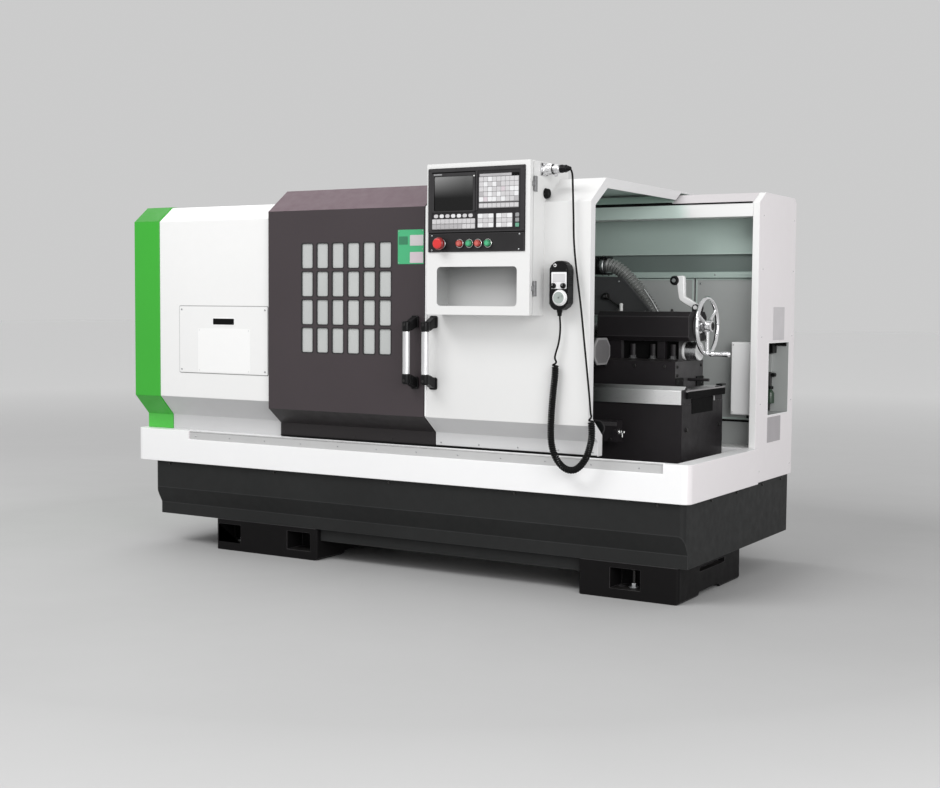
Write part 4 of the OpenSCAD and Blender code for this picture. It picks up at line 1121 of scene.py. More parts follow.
# roof screws
for x in (-1200, -980, -760):
    for y in (-540, -330, -120, 60):
        k.pan((x, y, 1557.8), (0, 0, 1), 5.0, "zinc")
k.done("machine")

k = Kit("end_cap_detail")
# service door with louvres on the left end, a lock and two hinges
k.prism(rr((-470, 720), (30, 1380), 16), "x", -1400.6, -1397, "green_paint", 1.2, 2)
k.hollow(rr((-476, 714), (36, 1386), 18), rr((-471.4, 718.6), (31.4, 1381.4), 16), "x", -1397.6, -1397.0, "gap_black")
for z0, cnt in ((760, 8), (1190, 7)):
    for n in range(cnt):
        z = z0 + 22 * n
        for y0, y1 in ((-420, -240), (-200, -20)):
            k.prism([(-1400.4, z), (-1400.4, z + 12), (-1402.2, z + 12), (-1405.4, z + 2), (-1405.4, z)], "y", y0, y1, "green_edge", 0.6, 2)
            k.box((-1400.9, y0 + 4, z - 3.2), (-1400.5, y1 - 4, z), "gap_black", 0, 1)
k.rod((-1400.4, 6, 1050), (-1, 0, 0), 13, 2.6, "bright_steel", 0.8, 36)
k.box((-1404.4, 1.5, 1046.5), (-1402.8, 10.5, 1053.5), "gap_black", 0.3, 1)
for z in (800, 1290):
    k.rod((-1400.4, -474, z), (0, 0, 1), 5.0, 56, "hinge_grey", 0.8, 24)
    k.box((-1401.6, -470, z), (-1400, -448, z + 56), "hinge_grey", 0.6, 1)
for y, z in ((-600, 760), (-600, 1420), (90, 620), (90, 1500), (-510, 620)):
    k.pan((-1397, y, z), (-1, 0, 0), 5.0, "zinc")
for y in (-520, -300, -80):
    k.pan((-1320, y, 1561.8), (0, 0, 1), 5.0, "zinc")
k.done("machine")

k = Kit("left_hood_detail")
for i in range(6):
    for r in range(4):
        x, z = -415 + 80.2 * i, 1272 - 118.7 * r
        k.hollow(rr((x - 2.2, z - 2.2), (x + 63.2, z + 109.2), 10), rr((x + 2.2, z + 2.2), (x + 58.8, z + 104.8), 6.5), "y", -668.9, -663.4, "gasket")
k.prism(rr((138.5, 1361), (203, 1404), 2.5), "y", -670.3, -669.3, "blank_plate", 0.25, 1)
k.prism(rr((138.5, 1291.5), (203, 1335.5), 2.5), "y", -670.3, -669.3, "blank_warm", 0.25, 1)
k.prism(rr((84, 1366), (128, 1399), 2.5), "y", -670.1, -669.3, "plate_dark", 0.25, 1)
for x, z in ((84, 1292.5), (84, 1421), (199, 1421), (199, 1347)):
    k.rod((x, -669.4, z), (0, -1, 0), 2.2, 0.7, "zinc", 0.25, 16)
# rubber lip under the skirt and its screws
k.box((-594, -582.4, 538.6), (207, -577.2, 545.4), "black_rubber", 0.8, 2)
k.box((-594, -586.6, 545.0), (207, -583.0, 549.0), "black_rubber", 0.6, 2)
for x in (-575, -385, -195, -5, 185):
    k.pan((x, -583.0, 560), (0, -1, 0), 3.6, "black_oxide")
k.done("left_door")

k = Kit("right_hood_detail")
k.box((214, -582.4, 541.2), (949, -577.2, 545.4), "black_rubber", 0.8, 2)
k.box((214, -586.6, 545.0), (949, -583.0, 549.0), "black_rubber", 0.6, 2)
k.box((213.6, -671.2, 672), (222.0, -667.9, 1516), "white_edge", 1.0, 2)
for x in (240, 420, 600, 780, 930):
    k.pan((x, -583.0, 560), (0, -1, 0), 3.6, "zinc")
for x in (260, 500, 740, 920):
    for y in (-440, -200, 80, 320):
        k.pan((x, y, 1613.8), (0, 0, 1), 4.6, "zinc")
k.done("right_door")

# ------------------------------------------------------------------ details: base, feet, tray, beam
k = Kit("base_detail")
for x in (-1229, -615, -2, 600, 1213):
    k.hexbolt((x, -607, 380), (0, -1, 0), 5.2, 4.2, "black_oxide")
for y in (-341, -60, 240, 480):
    for x, d in ((1320, 1), (-1320, -1)):
        k.hexbolt((x, y, 377), (d, 0, 0), 5.2, 4.2, "black_oxide")
for x in (-1100, -500, 100, 700, 1200):
    k.hexbolt((x, 590, 378), (0, 1, 0), 5.2, 4.2, "black_oxide")
# drain plug at the back
k.ring((-700, 589.8, 290), (0, 1, 0), 17, 24, 3, "cast_edge", 0.8, 40)
k.hexbolt((-700, 589.5, 290), (0, 1, 0), 13, 6, "zinc", washer=False)
k.done("machine")

k = Kit("foot_detail")
for x in (-876, 1078):
    for y in (-507, 37):
        k.rod((x, y, 38.2), (0, 0, 1), 22, 4.2, "zinc", 0.8, 40)
        k.hexbolt((x, y, 43), (0, 0, 1), 13.6, 13, "zinc", washer=False)
        k.rod((x, y, 56), (0, 0, 1), 8, 56, "black_oxide", 0.8, 28)
        for n in range(12):
            k.ring((x, y, 60 + 4 * n), (0, 0, 1), 7.6, 8.8, 1.7, "black_oxide", 0.4, 24)
        k.hexbolt((x, y, 118), (0, 0, -1), 13.6, 12, "black_oxide", washer=False)
for x in (-940, 1020):
    for y in (-500, 30):
        k.ring((x, y, 38.0), (0, 0, 1), 11.2, 16.5, 1.6, "cast_edge", 0.5, 36)
k.done("machine", ("levelling_bolts",))

k = Kit("tray_detail")
# rail screws and running edge
for x in (-1060, -860, -660, -460, -260, -60, 140, 340, 540, 740, 940, 1140):
    k.pan((x, -617.0, 517), (0, -1, 0), 3.4, "zinc")
k.box((-1096, -617.4, 533.6), (1237, -611.6, 535.2), "ground_steel", 0.4, 1)
k.done("machine")

k = Kit("beam_detail")
k.box((-545, 117.6, 1549.4), (1298, 122.2, 1556.4), "black_rubber", 1.2, 2)
k.box((-545, 119.5, 1555.0), (940, 131.0, 1562.0), "black_rubber", 1.2, 2)
for x in (-1200, -900, -600, -300, 0, 300, 600, 900, 1200):
    k.pan((x, 460, 1596.8), (0, 0, 1), 5.0, "zinc")
    k.pan((x, 560, 1596.8), (0, 0, 1), 5.0, "zinc")
for x in (-300, 400, 1100):
    k.box((x - 0.8, 205, 1596.8), (x + 0.8, 588, 1597.4), "seam_grey", 0, 1)
k.done("machine")

# ------------------------------------------------------------------ details: conduit and its fittings
COND = [(640, 56, 1296), (690, 56, 1298), (740, 56, 1274), (796, 56, 1224), (848, 56, 1164), (892, 56, 1100),
        (930, 56, 1030), (950, 56, 950), (952, 56, 880)]
k = Kit("flexible_conduit_detail")
pts = resample(spline(COND, 12), 1.75)
rad = [22.6 + 7.2 * (0.5 + 0.5 * cos(2 * pi * i / 8)) ** 1.3 for i in range(len(pts))]
t = bmesh.new()
add_tube(t, pts, rad, 36)
k._add(t, "conduit")
# bright rod along its right side, a painted highlight
strip = pts[int(len(pts) * 0.42):int(len(pts) * 0.63)]
side = []
for a, b in zip(strip, strip[4:]):
    d = (b - a).normalized()
    nv = Vector((d.z, 0, -d.x)) * -1
    side.append(a + Vector((0, -15, 0)) + nv * 25)
k.tube(side[::4], 2.6, "bright_satin", 10)
k.done("machine", ("flexible_conduit",))

k = Kit("conduit_fitting_detail")
k.ring((646, 56, 1296), (1, 0, 0), 30.2, 37.5, 8, "black_plastic", 1.5, 56)
k.lathe([(30.4, 0), (35.6, 0), (36.2, 2), (36.2, 12), (35.2, 14), (33.4, 15), (33.4, 22), (30.4, 23)], "satin_steel", (653, 56, 1296), (1, 0, 0), 12)
for z0, z1 in ((1326, 1335), (1257, 1266)):
    k.box((652, 24, z0), (687, 88, z1), "black_plastic", 2.5, 3)
for y in (28, 84):
    for s in (1, -1):
        k.socket((669, y, 1296 + s * 38.6), (0, 0, s), 4.4, 3.6, "black_oxide")
for n in range(18):
    a = 2 * pi * n / 18
    k.box((608, -1.6, 36.4), (640, 1.6, 38.2), "black_plastic", 0.5, 1, Matrix.Translation((0, 56, 1296)) @ Matrix.Rotation(a, 4, "X"))
    k.box((-1.6, 37.4, 806), (1.6, 39.2, 884), "black_plastic", 0.5, 1, Matrix.Translation((952, 56, 0)) @ Matrix.Rotation(a, 4, "Z"))
k.ring((952, 56, 884), (0, 0, 1), 31, 40, 9, "black_rubber", 2.0, 56)
k.done("machine")

# ------------------------------------------------------------------ details: carriage, tool post, cover and lever
k = Kit("carriage_detail")
for x in (540, 590, 640, 690, 730):
    k.socket((x, -430, 700), (0, -1, 0), 7, 5, "black_oxide")
for x in (548, 634, 720):
    k.socket((x, -405, 872), (0, 0, 1), 7.5, 6, "black_oxide")
for y in (-430, 60):
    k.box((513, y - 2, 798), (521, y + 46, 842), "black_rubber", 1.5, 2)
    k.box((747, y - 2, 798), (754, y + 46, 842), "black_rubber", 1.5, 2)
    for z in (808, 830):
        k.pan((754, y + 22, z), (1, 0, 0), 3.6, "zinc")
# cross slide gib, ball screw cover, oil pipe
k.box((600, -414, 916), (668, 84, 949), "ground_steel", 2.0, 2)
for y in (-370, -130, 10, 70):
    k.socket((578, y, 945), (0, 0, 1), 5.5, 4.5, "black_oxide")
    k.socket((690, y, 945), (0, 0, 1), 5.5, 4.5, "black_oxide")
k.tube(spline([(560, -100, 950), (548, -100, 985), (552, -90, 1040), (580, -60, 1080), (600, -20, 1060), (606, 0, 1020)], 8), 5, "black_rubber", 12)
# apron end box: round cover, bright oil nipple and its pipe
k.lathe([(0, 0), (27, 0), (28, 2), (26, 6), (20, 8.5), (0, 9)], "black_plastic", (874, -428, 641), (0, -1, 0), 44)
k.ring((874, -428, 641), (0, -1, 0), 27, 32, 4, "cast_edge", 1.0, 44)
k.hexbolt((960, -410, 628), (1, 0, 0), 8.2, 9, "bright_steel", washer=True)
k.rod((968, -410, 628), (1, 0, 0), 5.2, 10, "bright_steel", 0.8, 24)
k.ball((979, -410, 628), 5.8, "bright_steel", 20)
k.rod((972, -410, 628), (0, 0, -1), 3.6, 20, "bright_steel", 0.6, 18)
for x in (770, 850, 930):
    k.socket((x, -428, 600), (0, -1, 0), 5, 4, "black_oxide")
k.box((752, -430.5, 652), (956, -427.5, 668), "cast_edge", 0.8, 1)
k.done("machine")

k = Kit("tool_post_detail")
# bolt heads on the tool post, a clamped turning tool, rim and face of the eight-sided drive end
for x in (595, 635, 675):
    for y in (-288, -192):
        k.hexbolt((x, y, 1085), (0, 0, 1), 8, 12, "black_oxide", washer=False)
k.lathe([(0, 0), (26, 0), (26, 10), (22, 14), (14, 16), (0, 16)], "bright_satin", (635, -240, 1119), (0, 0, 1), 40)
k.box((600, -392, 992), (622, -300, 1014), "ground_steel", 1.0, 1)
k.prism([(600, -392), (622, -392), (622, -404), (612, -414), (600, -404)], "z", 1006, 1015, "brass", 0.6, 1)
oc = [(-423, 925), (-393, 895), (-312, 895), (-282, 925), (-282, 965), (-312, 995), (-393, 995), (-423, 965)]
cy, cz = -352.5, 945.0
o1 = [(cy + (y - cy) * 1.04, cz - 3 + (z - cz) * 1.08) for y, z in oc]
o2 = [(cy + (y - cy) * 0.90, cz - 3 + (z - cz) * 0.92) for y, z in oc]
k.prism(o1, "x", 846, 853.5, "octagon_edge", 1.8, 2, minang=15)
k.prism(o2, "x", 853, 854.4, "octagon_face", 0.5, 1, minang=15)
k.done("machine")

k = Kit("turret_cover_detail")
k.hollow([(548, 948), (548, 1249), (771, 1243), (899, 1107), (899, 1053), (769, 1053), (737, 948)],
         [(554, 954), (554, 1243), (768, 1237), (893, 1104.5), (893, 1059), (765, 1059), (732, 954)], "y", -1.6, 0.2, "cover_grey")
for x, z in ((562, 1234), (756, 1228), (880, 1100), (562, 962), (722, 962), (880, 1066)):
    k.pan((x, 0.2, z), (0, -1, 0), 4.4, "zinc")
k.rod((700, -1, 1165), (0, -1, 0), 15, 5.5, "black_oxide", 1.0, 36)
k.done("machine")

k = Kit("clamp_lever_detail")
bore = [(5.1, 0), (11.0, 0), (12.0, 1.0), (12.0, 14.5), (10.6, 16), (5.1, 16)]
k.lathe(bore + [bore[0]], "black_oxide", (700, -6, 1165), (0, -1, 0), 36)
th = math.atan2(46, 74)
xf = Matrix.Translation((700, -19, 1165)) @ Matrix.Rotation(th, 4, "Y")
k.lathe([(0, 9), (5.2, 9), (4.0, 14), (3.6, 60), (4.2, 78), (0, 80)], "black_oxide", (0, 0, 0), (1, 0, 0), 20, xf)
k.lathe([(0, 0), (5.6, 0), (7.4, 2), (7.8, 8), (7.4, 26), (7.8, 33), (6.0, 37.4), (0, 38.6)], "white_plastic", (700 + 92 * cos(th), -19, 1165 - 92 * sin(th) - 19), (0, 0, 1), 28)
k.done("tool_clamp", ("clamp_lever",))

# ------------------------------------------------------------------ details: tailstock, levers, handwheel
k = Kit("tailstock_detail")
for x in (914, 1002, 1090):
    k.rod((x, -192, 911.5), (0, 0, 1), 10.5, 34, "bolt_dull", 0.8, 24)
    k.hexbolt((x, -192, 912), (0, 0, 1), 13, 11, "bolt_dull", washer=True)
k.box((1026, -205.6, 911), (1060, -178.5, 984.5), "cast_paint", 2.5, 2)
# black sheet between body and base, painted shade in the recess behind the clamp bolts
k.box((868, -179.2, 912), (1118, -178.2, 983.5), "gap_black", 0, 1)
# rear flange with screws, oil cups, wipers
k.ring((1171.5, -140, 1046), (1, 0, 0), 42.5, 56, 4.5, "cast_edge", 1.2, 64)
for n in range(6):
    a = 2 * pi * n / 6 + 0.3
    k.socket((1175.6, -140 + 49.5 * cos(a), 1046 + 49.5 * sin(a)), (1, 0, 0), 3.6, 2.8, "black_oxide")
k.ring((771.6, -140, 1046), (-1, 0, 0), 42.3, 54, 4.5, "cast_edge", 1.2, 64)
for x in (820, 1060):
    k.lathe([(0, 0), (6.5, 0), (6.5, 4), (4.5, 5), (5.0, 9), (0, 11)], "black_oxide", (x, -140, 1102.6), (0, 0, 1), 20)
for y in (-275, -60):
    k.box((1134, y, 799.5), (1141, y + 74, 840), "black_rubber", 1.5, 2)
    for dy in (14, 60):
        k.pan((1141, y + dy, 828), (1, 0, 0), 3.4, "black_oxide")
for y, z in ((-255, 884), (-5, 884), (-255, 850)):
    k.socket((1134.8, y, z), (1, 0, 0), 6.4, 4.2, "black_oxide")
for x in (830, 960, 1090):
    k.socket((x, -274.5, 886), (0, -1, 0), 6.4, 4.2, "black_oxide")
k.rod((1134, -12, 819), (1, 0, 0), 9, 8, "black_oxide", 1.0, 28)
k.rod((1140, -12, 819), (0, 1, 0), 3.6, 1, "black_oxide", 0.3, 12)
# ears of the lock lever
for y in (-167.6, -112.6):
    k.rod((1170, y, 1120), (0, 1, 0), 8.5, 0.9, "bright_paint", 0.3, 24)
for y in (-168.4, -113.6):
    k.hexbolt((1170, y if y < -140 else y + 1.8, 1120), (0, -1 if y < -140 else 1, 0), 7.2, 5, "bright_paint", washer=False)
k.done("machine")

k = Kit("quill_detail")
for n in range(25):
    k.box((705 + 2.4 * n, -0.15, 41.7), (705.35 + 2.4 * n, 3.0 if n % 5 else 5.5, 42.05), "gap_black", 0, 1, Matrix.Translation((0, -140, 1046)) @ Matrix.Rotation(radians(40), 4, "X"))
k.ring((699.5, -140, 1046), (-1, 0, 0), 30.2, 39, 5, "turned_steel", 1.0, 56)
k.ring((1174, -140, 1046), (1, 0, 0), 22.2, 29, 12, "bright_satin", 1.2, 48)
for n in range(4):
    a = pi / 4 + n * pi / 2
    k.socket((1186, -140 + 25.6 * cos(a), 1046 + 25.6 * sin(a)), (1, 0, 0), 2.6, 2.0, "black_oxide")
# pale boss under the body with a front collar
k.lathe([(0, 0), (34, 0), (37.2, 2), (37.4, 10), (35.4, 13), (33.6, 14), (33.6, 58), (36.6, 60), (36.6, 67), (34, 69), (12, 69.4), (10, 67), (0, 67)], "bright_paint", (1118, -140, 945), (1, 0, 0), 56)
k.done("machine")

k = Kit("lock_lever_detail")
k.lathe([(6.1, 0), (11, 0), (12, 1), (12, 35), (11, 36), (6.1, 36), (6.1, 0)], "bright_paint", (1170, -158, 1120), (0, 1, 0), 40)
k.prism([(1176, 1130), (1163, 1111), (1118, 1134), (1096, 1148), (1091, 1160), (1079, 1238), (1081, 1246), (1108, 1248), (1114, 1242), (1117, 1164), (1138, 1154)], "y", -152, -128, "bright_paint", 5, 4, minang=18)
k.lathe([(0, 0), (14, 0), (17.6, 2), (19, 6), (19, 34), (17.6, 38), (14, 40), (0, 40)], "black_plastic", (1074, -160, 1228), (0, 1, 0), 40)
k.lathe([(0, 0), (8.0, 0), (8.0, 1.0), (0, 1.4)], "zinc", (1074, -160.2, 1228), (0, -1, 0), 24)
k.done("quill_lock", ("lock_lever",))

k = Kit("handwheel_detail")
C = Matrix.Translation((1212, -140, 1046))
k.tube([(1212, -140 + 111 * cos(2 * pi * n / 96), 1046 + 111 * sin(2 * pi * n / 96)) for n in range(96)], 9, "chrome", 20, closed=True)
k.lathe([(9.1, 0), (20, 0), (23.4, 2), (24, 5), (24, 25), (22.5, 28.6), (19, 30), (14, 30), (13, 29), (9.1, 29), (9.1, 0)], "chrome", (1206, -140, 1046), (1, 0, 0), 56)
for a in (65, 185, 305):
    k.lathe([(0, 18), (9.6, 18), (9.2, 26), (7.4, 60), (7.0, 90), (7.8, 104), (0, 106)], "chrome", (0, 0, 0), (0, 0, 1), 28, C @ Matrix.Rotation(radians(a), 4, "X"))
k.ring((1235.6, -140, 1046), (1, 0, 0), 9.0, 16.5, 1.8, "black_oxide", 0.4, 40)
k.socket((1225, -140, 1070.4), (0, 0, 1), 3.2, 2.4, "black_oxide")
# crank handle: spindle, waisted sleeve and end screw
k.rod((1210, -140, 935), (1, 0, 0), 6, 104, "chrome", 0.8, 24)
k.lathe([(6.1, 0), (9.0, 0), (10.6, 3), (11.0, 10), (9.4, 34), (9.2, 50), (11.0, 74), (10.6, 80), (8.8, 83.4), (6.1, 84), (6.1, 0)], "chrome", (1226, -140, 935), (1, 0, 0), 36)
k.rod((1220, -140, 935), (1, 0, 0), 9.6, 4.5, "chrome", 0.8, 28)
k.pan((1312, -140, 935), (1, 0, 0), 5.6, "black_oxide")
k.done("tailstock_wheel", ("handwheel",))

# ------------------------------------------------------------------ details: bed, chuck, headstock
k = Kit("bed_detail")
# end plate of the bed: black slab; a pale top plate on the black cap, a painted highlight; a black sheet in the
# hollow, painted shade; bolts
k.box((1194.6, -246, 700), (1196.8, -24, 764), "gap_black", 0.3, 1)
k.box((1188, -308, 788.5), (1203.5, 96, 795.5), "cast_top_highlight", 1.2, 2)
k.box((1201, -306, 763), (1204.2, 96, 790.5), "gap_black", 0.4, 1)
for y in (-300, 50):
    for z in (460, 640):
        k.hexbolt((1195, y, z), (1, 0, 0), 8, 6, "black_oxide")
for x in (-300, 100, 500, 900):
    k.hexbolt((x, -345, 470), (0, -1, 0), 8, 6, "black_oxide")
k.done("machine")

k = Kit("chuck_detail")
for s in range(3):
    a = radians((90, 210, 330)[s])
    xf = Matrix.Translation((0, -140, 1046)) @ Matrix.Rotation(a, 4, "X")
    for n in range(22):
        k.box((-329.6, 34 + 4 * n, -17), (-327.4, 35.6 + 4 * n, 17), "gap_black", 0, 1, xf)
    for y in (52, 96):
        k.socket((-302.4 + (26 if y < 80 else 0), y, 0), (1, 0, 0), 8, 7, "black_oxide", xf)
    k.box((-410, 124.0, -22), (-340, 127.0, 22), "turned_steel", 1.0, 2, xf)
for n in range(6):
    a = 2 * pi * n / 6 + 0.26
    k.socket((-328.4, -140 + 104 * cos(a), 1046 + 104 * sin(a)), (1, 0, 0), 7, 4.5, "black_oxide")
for r in (119, 66, 40):
    k.ring((-328.4, -140, 1046), (1, 0, 0), r - 1, r, 0.6, "gap_black", 0.1, 64)
k.done("machine")

k = Kit("headstock_detail")
for y, z in ((-300, 1210), (-300, 840), (30, 1210), (30, 840), (-300, 1030), (30, 1030)):
    k.hexbolt((-470, y, z), (1, 0, 0), 10, 8, "black_oxide")
k.ring((-470, -140, 1046), (1, 0, 0), 96, 118, 8, "cast_edge", 2.0, 72)
for n in range(8):
    a = 2 * pi * n / 8
    k.socket((-462.5, -140 + 107 * cos(a), 1046 + 107 * sin(a)), (1, 0, 0), 5.5, 4.5, "black_oxide")
k.box((-545, -320, 1239), (-480, 50, 1243), "cast_edge", 1.2, 2)
k.done("machine")

# ------------------------------------------------------------------ details: back wall, boxes, wing
k = Kit("back_wall_detail")
k.box((1000.6, 250.6, 655), (1005.4, 251.9, 1240), "gap_black", 0, 1)
for x0, x1 in ((-545, 1000), (1006, 1300)):
    k.hollow([(x0 + 3, 649), (x1 - 3, 649), (x1 - 3, 1243), (x0 + 3, 1243)], [(x0 + 9, 655), (x1 - 9, 655), (x1 - 9, 1237), (x0 + 9, 1237)], "y", 238.6, 240.1, "interior_edge")
for x in (-500, -100, 300, 700, 960, 1030, 1270):
    for z in (676, 950, 1222):
        k.pan((x, 240, z), (0, -1, 0), 4.6, "zinc")
for x in (-500, -100, 300, 700, 1100):
    k.pan((x, 226, 1259), (0, -1, 0), 4.0, "zinc")
k.box((-545, 237.4, 1346), (1298, 240.4, 1350.5), "interior_edge", 0.8, 1)
k.box((-545, 250.4, 636), (1298, 251.9, 645.4), "gap_black", 0, 1)
k.done("machine")

k = Kit("electrical_box_detail")
k.prism(rr((1203, 676), (1298, 973), 5), "y", 167.8, 170.4, "white_edge", 1.0, 2)
for x, z in ((1209, 684), (1209, 965), (1292, 684), (1292, 965)):
    k.pan((x, 168, z), (0, -1, 0), 3.6, "screw_white")
k.lathe([(0, 0), (12, 0), (12, 5), (10, 6), (10, 13), (7.5, 15), (0, 15)], "black_plastic", (1268, 205, 672), (0, 0, -1), 28)
k.done("machine")

k = Kit("wing_detail")
k.prism(rr((312, 984), (456, 1124), 4), "x", 1328.8, 1330.2, "wing_plate", 0.3, 1)
k.prism(rr((264, 552), (430, 659), 4), "x", 1328.8, 1330.2, "wing_plate2", 0.3, 1)
k.hollow(rr((259, 665), (526, 976), 4), rr((263, 669), (522, 972), 3), "x", 1328.6, 1329.8, "white_edge")
for y in (170, 560):
    for z in (440, 720, 1000, 1280, 1500):
        k.pan((1328.6, y, z), (1, 0, 0), 4.0, "screw_white")
k.done("machine")

k = Kit("lubricator_detail")
# what shows through the window: back frame, junction block, tap and a small green bottle
k.box((1230, 511, 670), (1252, 522.6, 972), "cast_grey", 1.0, 2)
k.box((1240, 470, 924), (1277, 522, 970), "black_plastic", 3, 3)
k.box((1252, 516, 955), (1320, 522.6, 971), "gap_black", 1.0, 1)
k.prism([(1252, 940), (1294, 962), (1294, 970), (1252, 970)], "y", 500, 520, "black_plastic", 1.5, 2)
k.box((1248, 500, 840), (1262, 522, 920), "interior_grey", 1.5, 2)
k.rod((1270, 520, 828), (0, -1, 0), 9, 26, "black_plastic", 1.5, 28)
k.box((1246, 496, 740), (1258, 522, 836), "cast_grey", 1.5, 2)
k.lathe([(0, 0), (17, 0), (18, 3), (18, 44), (14, 52), (8, 58), (8, 66), (0, 66)], "green_bottle", (1260, 494, 704), (0, 0, 1), 36)
k.rod((1262, 494, 766), (0, 0, 1), 12, 13, "black_plastic", 1.5, 28)
for z in (780, 800, 815):
    k.hexbolt((1252, 496, z), (0, -1, 0), 5, 4, "black_oxide", washer=False)

# pump block, gauge, bottle with collars and neck, hoses
k.box((1174, 300, 806), (1290, 344, 815), "zinc", 1.2, 2)
k.box((1174, 300, 813), (1184, 380, 902), "zinc", 1.2, 2)
k.lathe([(0, 0), (27, 0), (30, 3), (30, 60), (27, 66), (29.5, 70), (29.5, 92), (26, 96), (0, 96)], "oil", (1260, 320, 711), (0, 0, 1), 48)
k.ring((1260, 320, 776), (0, 0, 1), 27.5, 31.5, 6, "black_plastic", 1.0, 48)
k.lathe([(0, 0), (24, 0), (25, 3), (25, 12), (20, 16), (14, 22), (14, 30), (0, 30)], "black_plastic", (1260, 320, 808), (0, 0, 1), 40)
k.box((1276, 282, 905), (1299, 330, 960), "black_plastic", 3, 3)
k.lathe([(0, 0), (19, 0), (20, 2), (20, 14), (17, 16), (0, 16)], "black_plastic", (1286, 300, 884), (1, 0, 0), 40)
k.rod((1301.4, 300, 884), (1, 0, 0), 16, 1.0, "blank_plate", 0.4, 36)
k.box((1302.2, 299.2, 884), (1302.8, 300.8, 896), "gap_black", 0, 1)
k.lathe([(0, 0), (25, 0), (26, 3), (26, 54), (22, 60), (10, 66), (10, 72), (0, 72)], "green_bottle", (1280, 292, 690), (0, 0, 1), 40)
k.rod((1280, 292, 760), (0, 0, 1), 12, 10, "black_plastic", 1.2, 28)
for n, (y0, z0) in enumerate(((310, 838), (330, 838), (350, 880))):
    k.tube(spline([(1262, y0, z0), (1255, y0 + 22, z0 + 40), (1240, y0 + 60, z0 + 60), (1215, y0 + 92, z0 + 20), (1195, y0 + 100, z0 - 60), (1180, y0 + 104, z0 - 110)], 8), 3.2, "black_rubber", 10)
for y in (300, 420, 500):
    k.pan((1174.4, y, 940), (1, 0, 0), 4, "zinc")
k.hollow(rr((266, 674), (519, 968), 4), rr((272, 680), (513, 962), 4), "x", 1174.2, 1175.4, "interior_edge")
k.done("machine", ("lubricator",))

# ------------------------------------------------------------------ details: back and left of the cabinet
k = Kit("rear_detail")
for x0, x1 in ((-1270, -660), (-620, -10), (30, 640), (680, 1250)):
    k.prism(rr((x0, 600), (x1, 1440), 14), "y", 589.6, 592.8, "white_paint", 1.2, 2)
    k.hollow(rr((x0 - 5, 595), (x1 + 5, 1445), 16), rr((x0 - 0.5, 599.5), (x1 + 0.5, 1440.5), 14), "y", 589.8, 590.5, "seam_grey")
    w = (x1 - x0 - 120) / 2
    for n in range(9):
        z = 690 + 24 * n
        for j in (0, 1):
            a = x0 + 45 + j * (w + 30)
            k.prism([(592.6, z), (592.6, z + 13), (593.9, z + 13), (595.8, z + 2), (595.8, z)], "x", a, a + w, "white_edge", 0.6, 2)
            k.box((a + 4, 592.6, z - 3.4), (a + w - 4, 593.1, z), "gap_black", 0, 1)
    for z in (1010, 1330):
        k.rod((x1 - 26, 592.4, z), (0, 1, 0), 13, 2.8, "bright_steel", 0.8, 32)
        k.box((x1 - 28, 595.0, z - 7), (x1 - 24, 595.7, z + 7), "gap_black", 0.1, 1)
    for z in (660, 1320):
        k.rod((x0 - 1, 592.2, z), (0, 0, 1), 4.4, 60, "hinge_grey", 0.8, 24)
        k.box((x0, 592.4, z), (x0 + 24, 594.2, z + 60), "hinge_grey", 0.6, 1)
# main switch, cable glands and a lower strip of screws
k.box((1262, 588, 1150), (1294, 592.6, 1230), "black_plastic", 1.8, 3)
k.rod((1278, 592, 1195), (0, 1, 0), 13, 2.6, "red_plastic", 0.8, 32)
k.box((1274.6, 593.6, 1180), (1281.4, 596.4, 1210), "red_plastic", 1.2, 2)
for x in (1262, 1286):
    k.hexbolt((x, 589.6, 470), (0, 1, 0), 11, 4.4, "zinc", washer=True)
    k.rod((x, 593, 470), (0, 1, 0), 7, 3.6, "black_rubber", 0.8, 24)
for n in range(12):
    k.pan((-1280 + 230 * n, 590, 1475), (0, 1, 0), 4.4, "zinc")
    k.pan((-1280 + 230 * n, 590, 560), (0, 1, 0), 4.4, "zinc")
for y in (200, 380, 540):
    for z in (600, 1000, 1400):
        k.pan((-1320, y, z), (-1, 0, 0), 4.4, "zinc")
k.done("machine")

# ------------------------------------------------------------------ details: inside of the control box
k = Kit("box_inside")
k.box((324, -671.5, 1300), (722, -668.4, 1508), "cover_grey", 0.6, 1)
for x in (334, 712):
    for z in (1310, 1498):
        k.pan((x, -671.5, z), (0, -1, 0), 3.6, "zinc")
for z in (1468, 1368):
    k.box((332, -702, z), (714, -671.4, z + 24), "key_dull", 1.0, 2)
    for n in range(31):
        k.box((342 + 12 * n, -702.3, z + 4), (345 + 12 * n, -701.6, z + 20), "gap_black", 0, 1)
k.box((338, -722, 1396), (412, -671.4, 1464), "black_plastic", 1.6, 2)
for n in range(8):
    k.box((344 + 8 * n, -722.6, 1402), (347 + 8 * n, -721.6, 1444), "gap_black", 0, 1)
k.box((346, -723.2, 1448), (404, -721.6, 1459), "key_pale", 0.5, 1)
k.box((424, -714, 1398), (508, -671.4, 1462), "ground_steel", 1.2, 2)
for n in range(6):
    k.box((430, -714.5, 1404 + 6 * n), (470, -713.6, 1406 + 6 * n), "gap_black", 0, 1)
k.box((478, -716, 1402), (504, -713.4, 1458), "black_plastic", 0.8, 2)
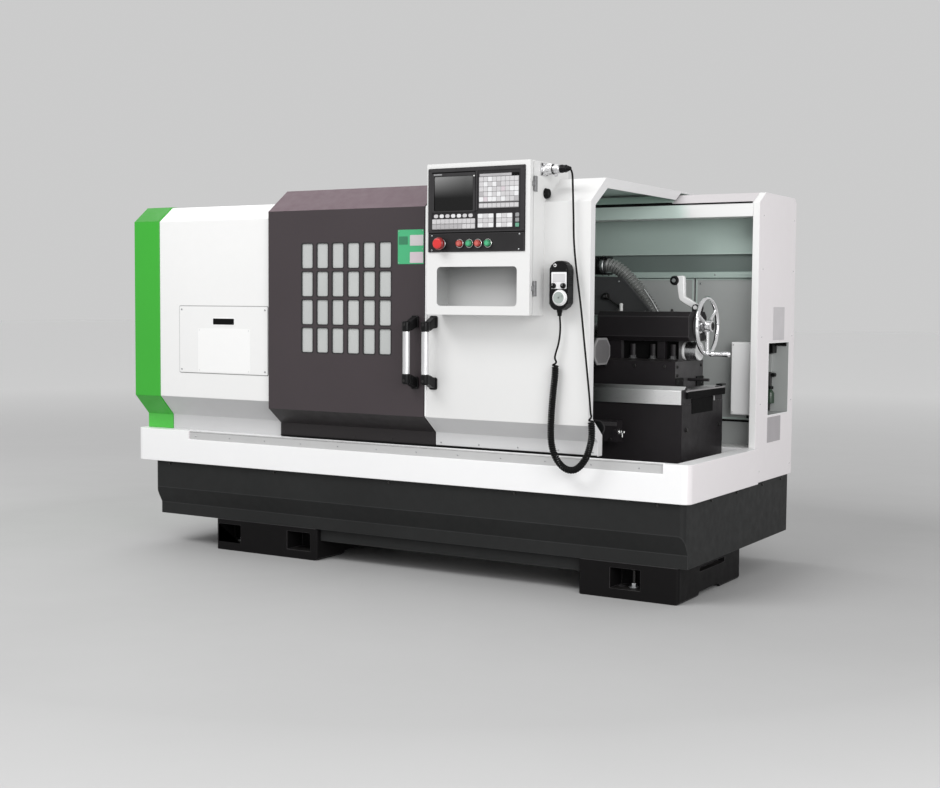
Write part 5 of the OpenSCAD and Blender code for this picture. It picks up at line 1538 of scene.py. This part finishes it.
for n in range(6):
    x = 520 + 31 * n
    k.box((x, -706, 1402), (x + 27, -671.4, 1458), "key_pale" if n % 2 else "black_plastic", 1.4, 2)
    k.box((x + 6, -707, 1420), (x + 21, -705.4, 1442), "gap_black", 0.6, 1)
k.box((338, -679, 1334), (708, -671.4, 1341), "ground_steel", 0.6, 1)
for n in range(34):
    x = 346 + 10.5 * n
    k.box((x, -697, 1322), (x + 9.6, -679.2, 1353), ("key_pale", "key_pale", "key_dull")[n % 3], 0.7, 1)
    k.rod((x + 4.8, -697.1, 1329), (0, -1, 0), 2.4, 0.5, "zinc", 0.1, 10)
    k.rod((x + 4.8, -697.1, 1346), (0, -1, 0), 2.4, 0.5, "zinc", 0.1, 10)
k.done("right_door")


# ------------------------------------------------------------------ floor and light
fl = bmesh.new()
bmesh.ops.create_grid(fl, x_segments=8, y_segments=8, size=60)
me = bpy.data.meshes.new("floor")
fl.to_mesh(me)
fl.free()
me.materials.append(M["floor"])
floor = bpy.data.objects.new("floor", me)
bpy.context.scene.collection.objects.link(floor)

world = bpy.data.worlds.new("studio")
bpy.context.scene.world = world
world.use_nodes = True
bg = world.node_tree.nodes["Background"]
bg.inputs[0].default_value = (1.0, 1.0, 1.0, 1)
bg.inputs[1].default_value = 0.60


def area(name, loc, target, size, power, color=(1, 1, 1)):
    d = bpy.data.lights.new(name, "AREA")
    d.shape = "RECTANGLE"
    d.size, d.size_y = size
    d.energy = power
    d.color = color
    o = bpy.data.objects.new(name, d)
    bpy.context.scene.collection.objects.link(o)
    v = Vector(target) - Vector(loc)
    o.rotation_mode = "QUATERNION"
    o.rotation_quaternion = v.to_track_quat("-Z", "Y")
    o.location = loc
    return o


area("key", (-1.3, -4.4, 5.4), (0, -0.2, 0.9), (4.0, 2.4), 190)
area("top", (-2.4, 0.7, 4.5), (-0.2, -0.5, 1.5), (3.4, 2.6), 55)
area("fill", (5.4, -4.3, 2.3), (0.5, 0, 0.9), (4.0, 3.0), 190)

scene = bpy.context.scene
scene.view_settings.view_transform = "Standard"
scene.view_settings.look = "None"
scene.view_settings.exposure = 0.0
scene.view_settings.gamma = 1.0
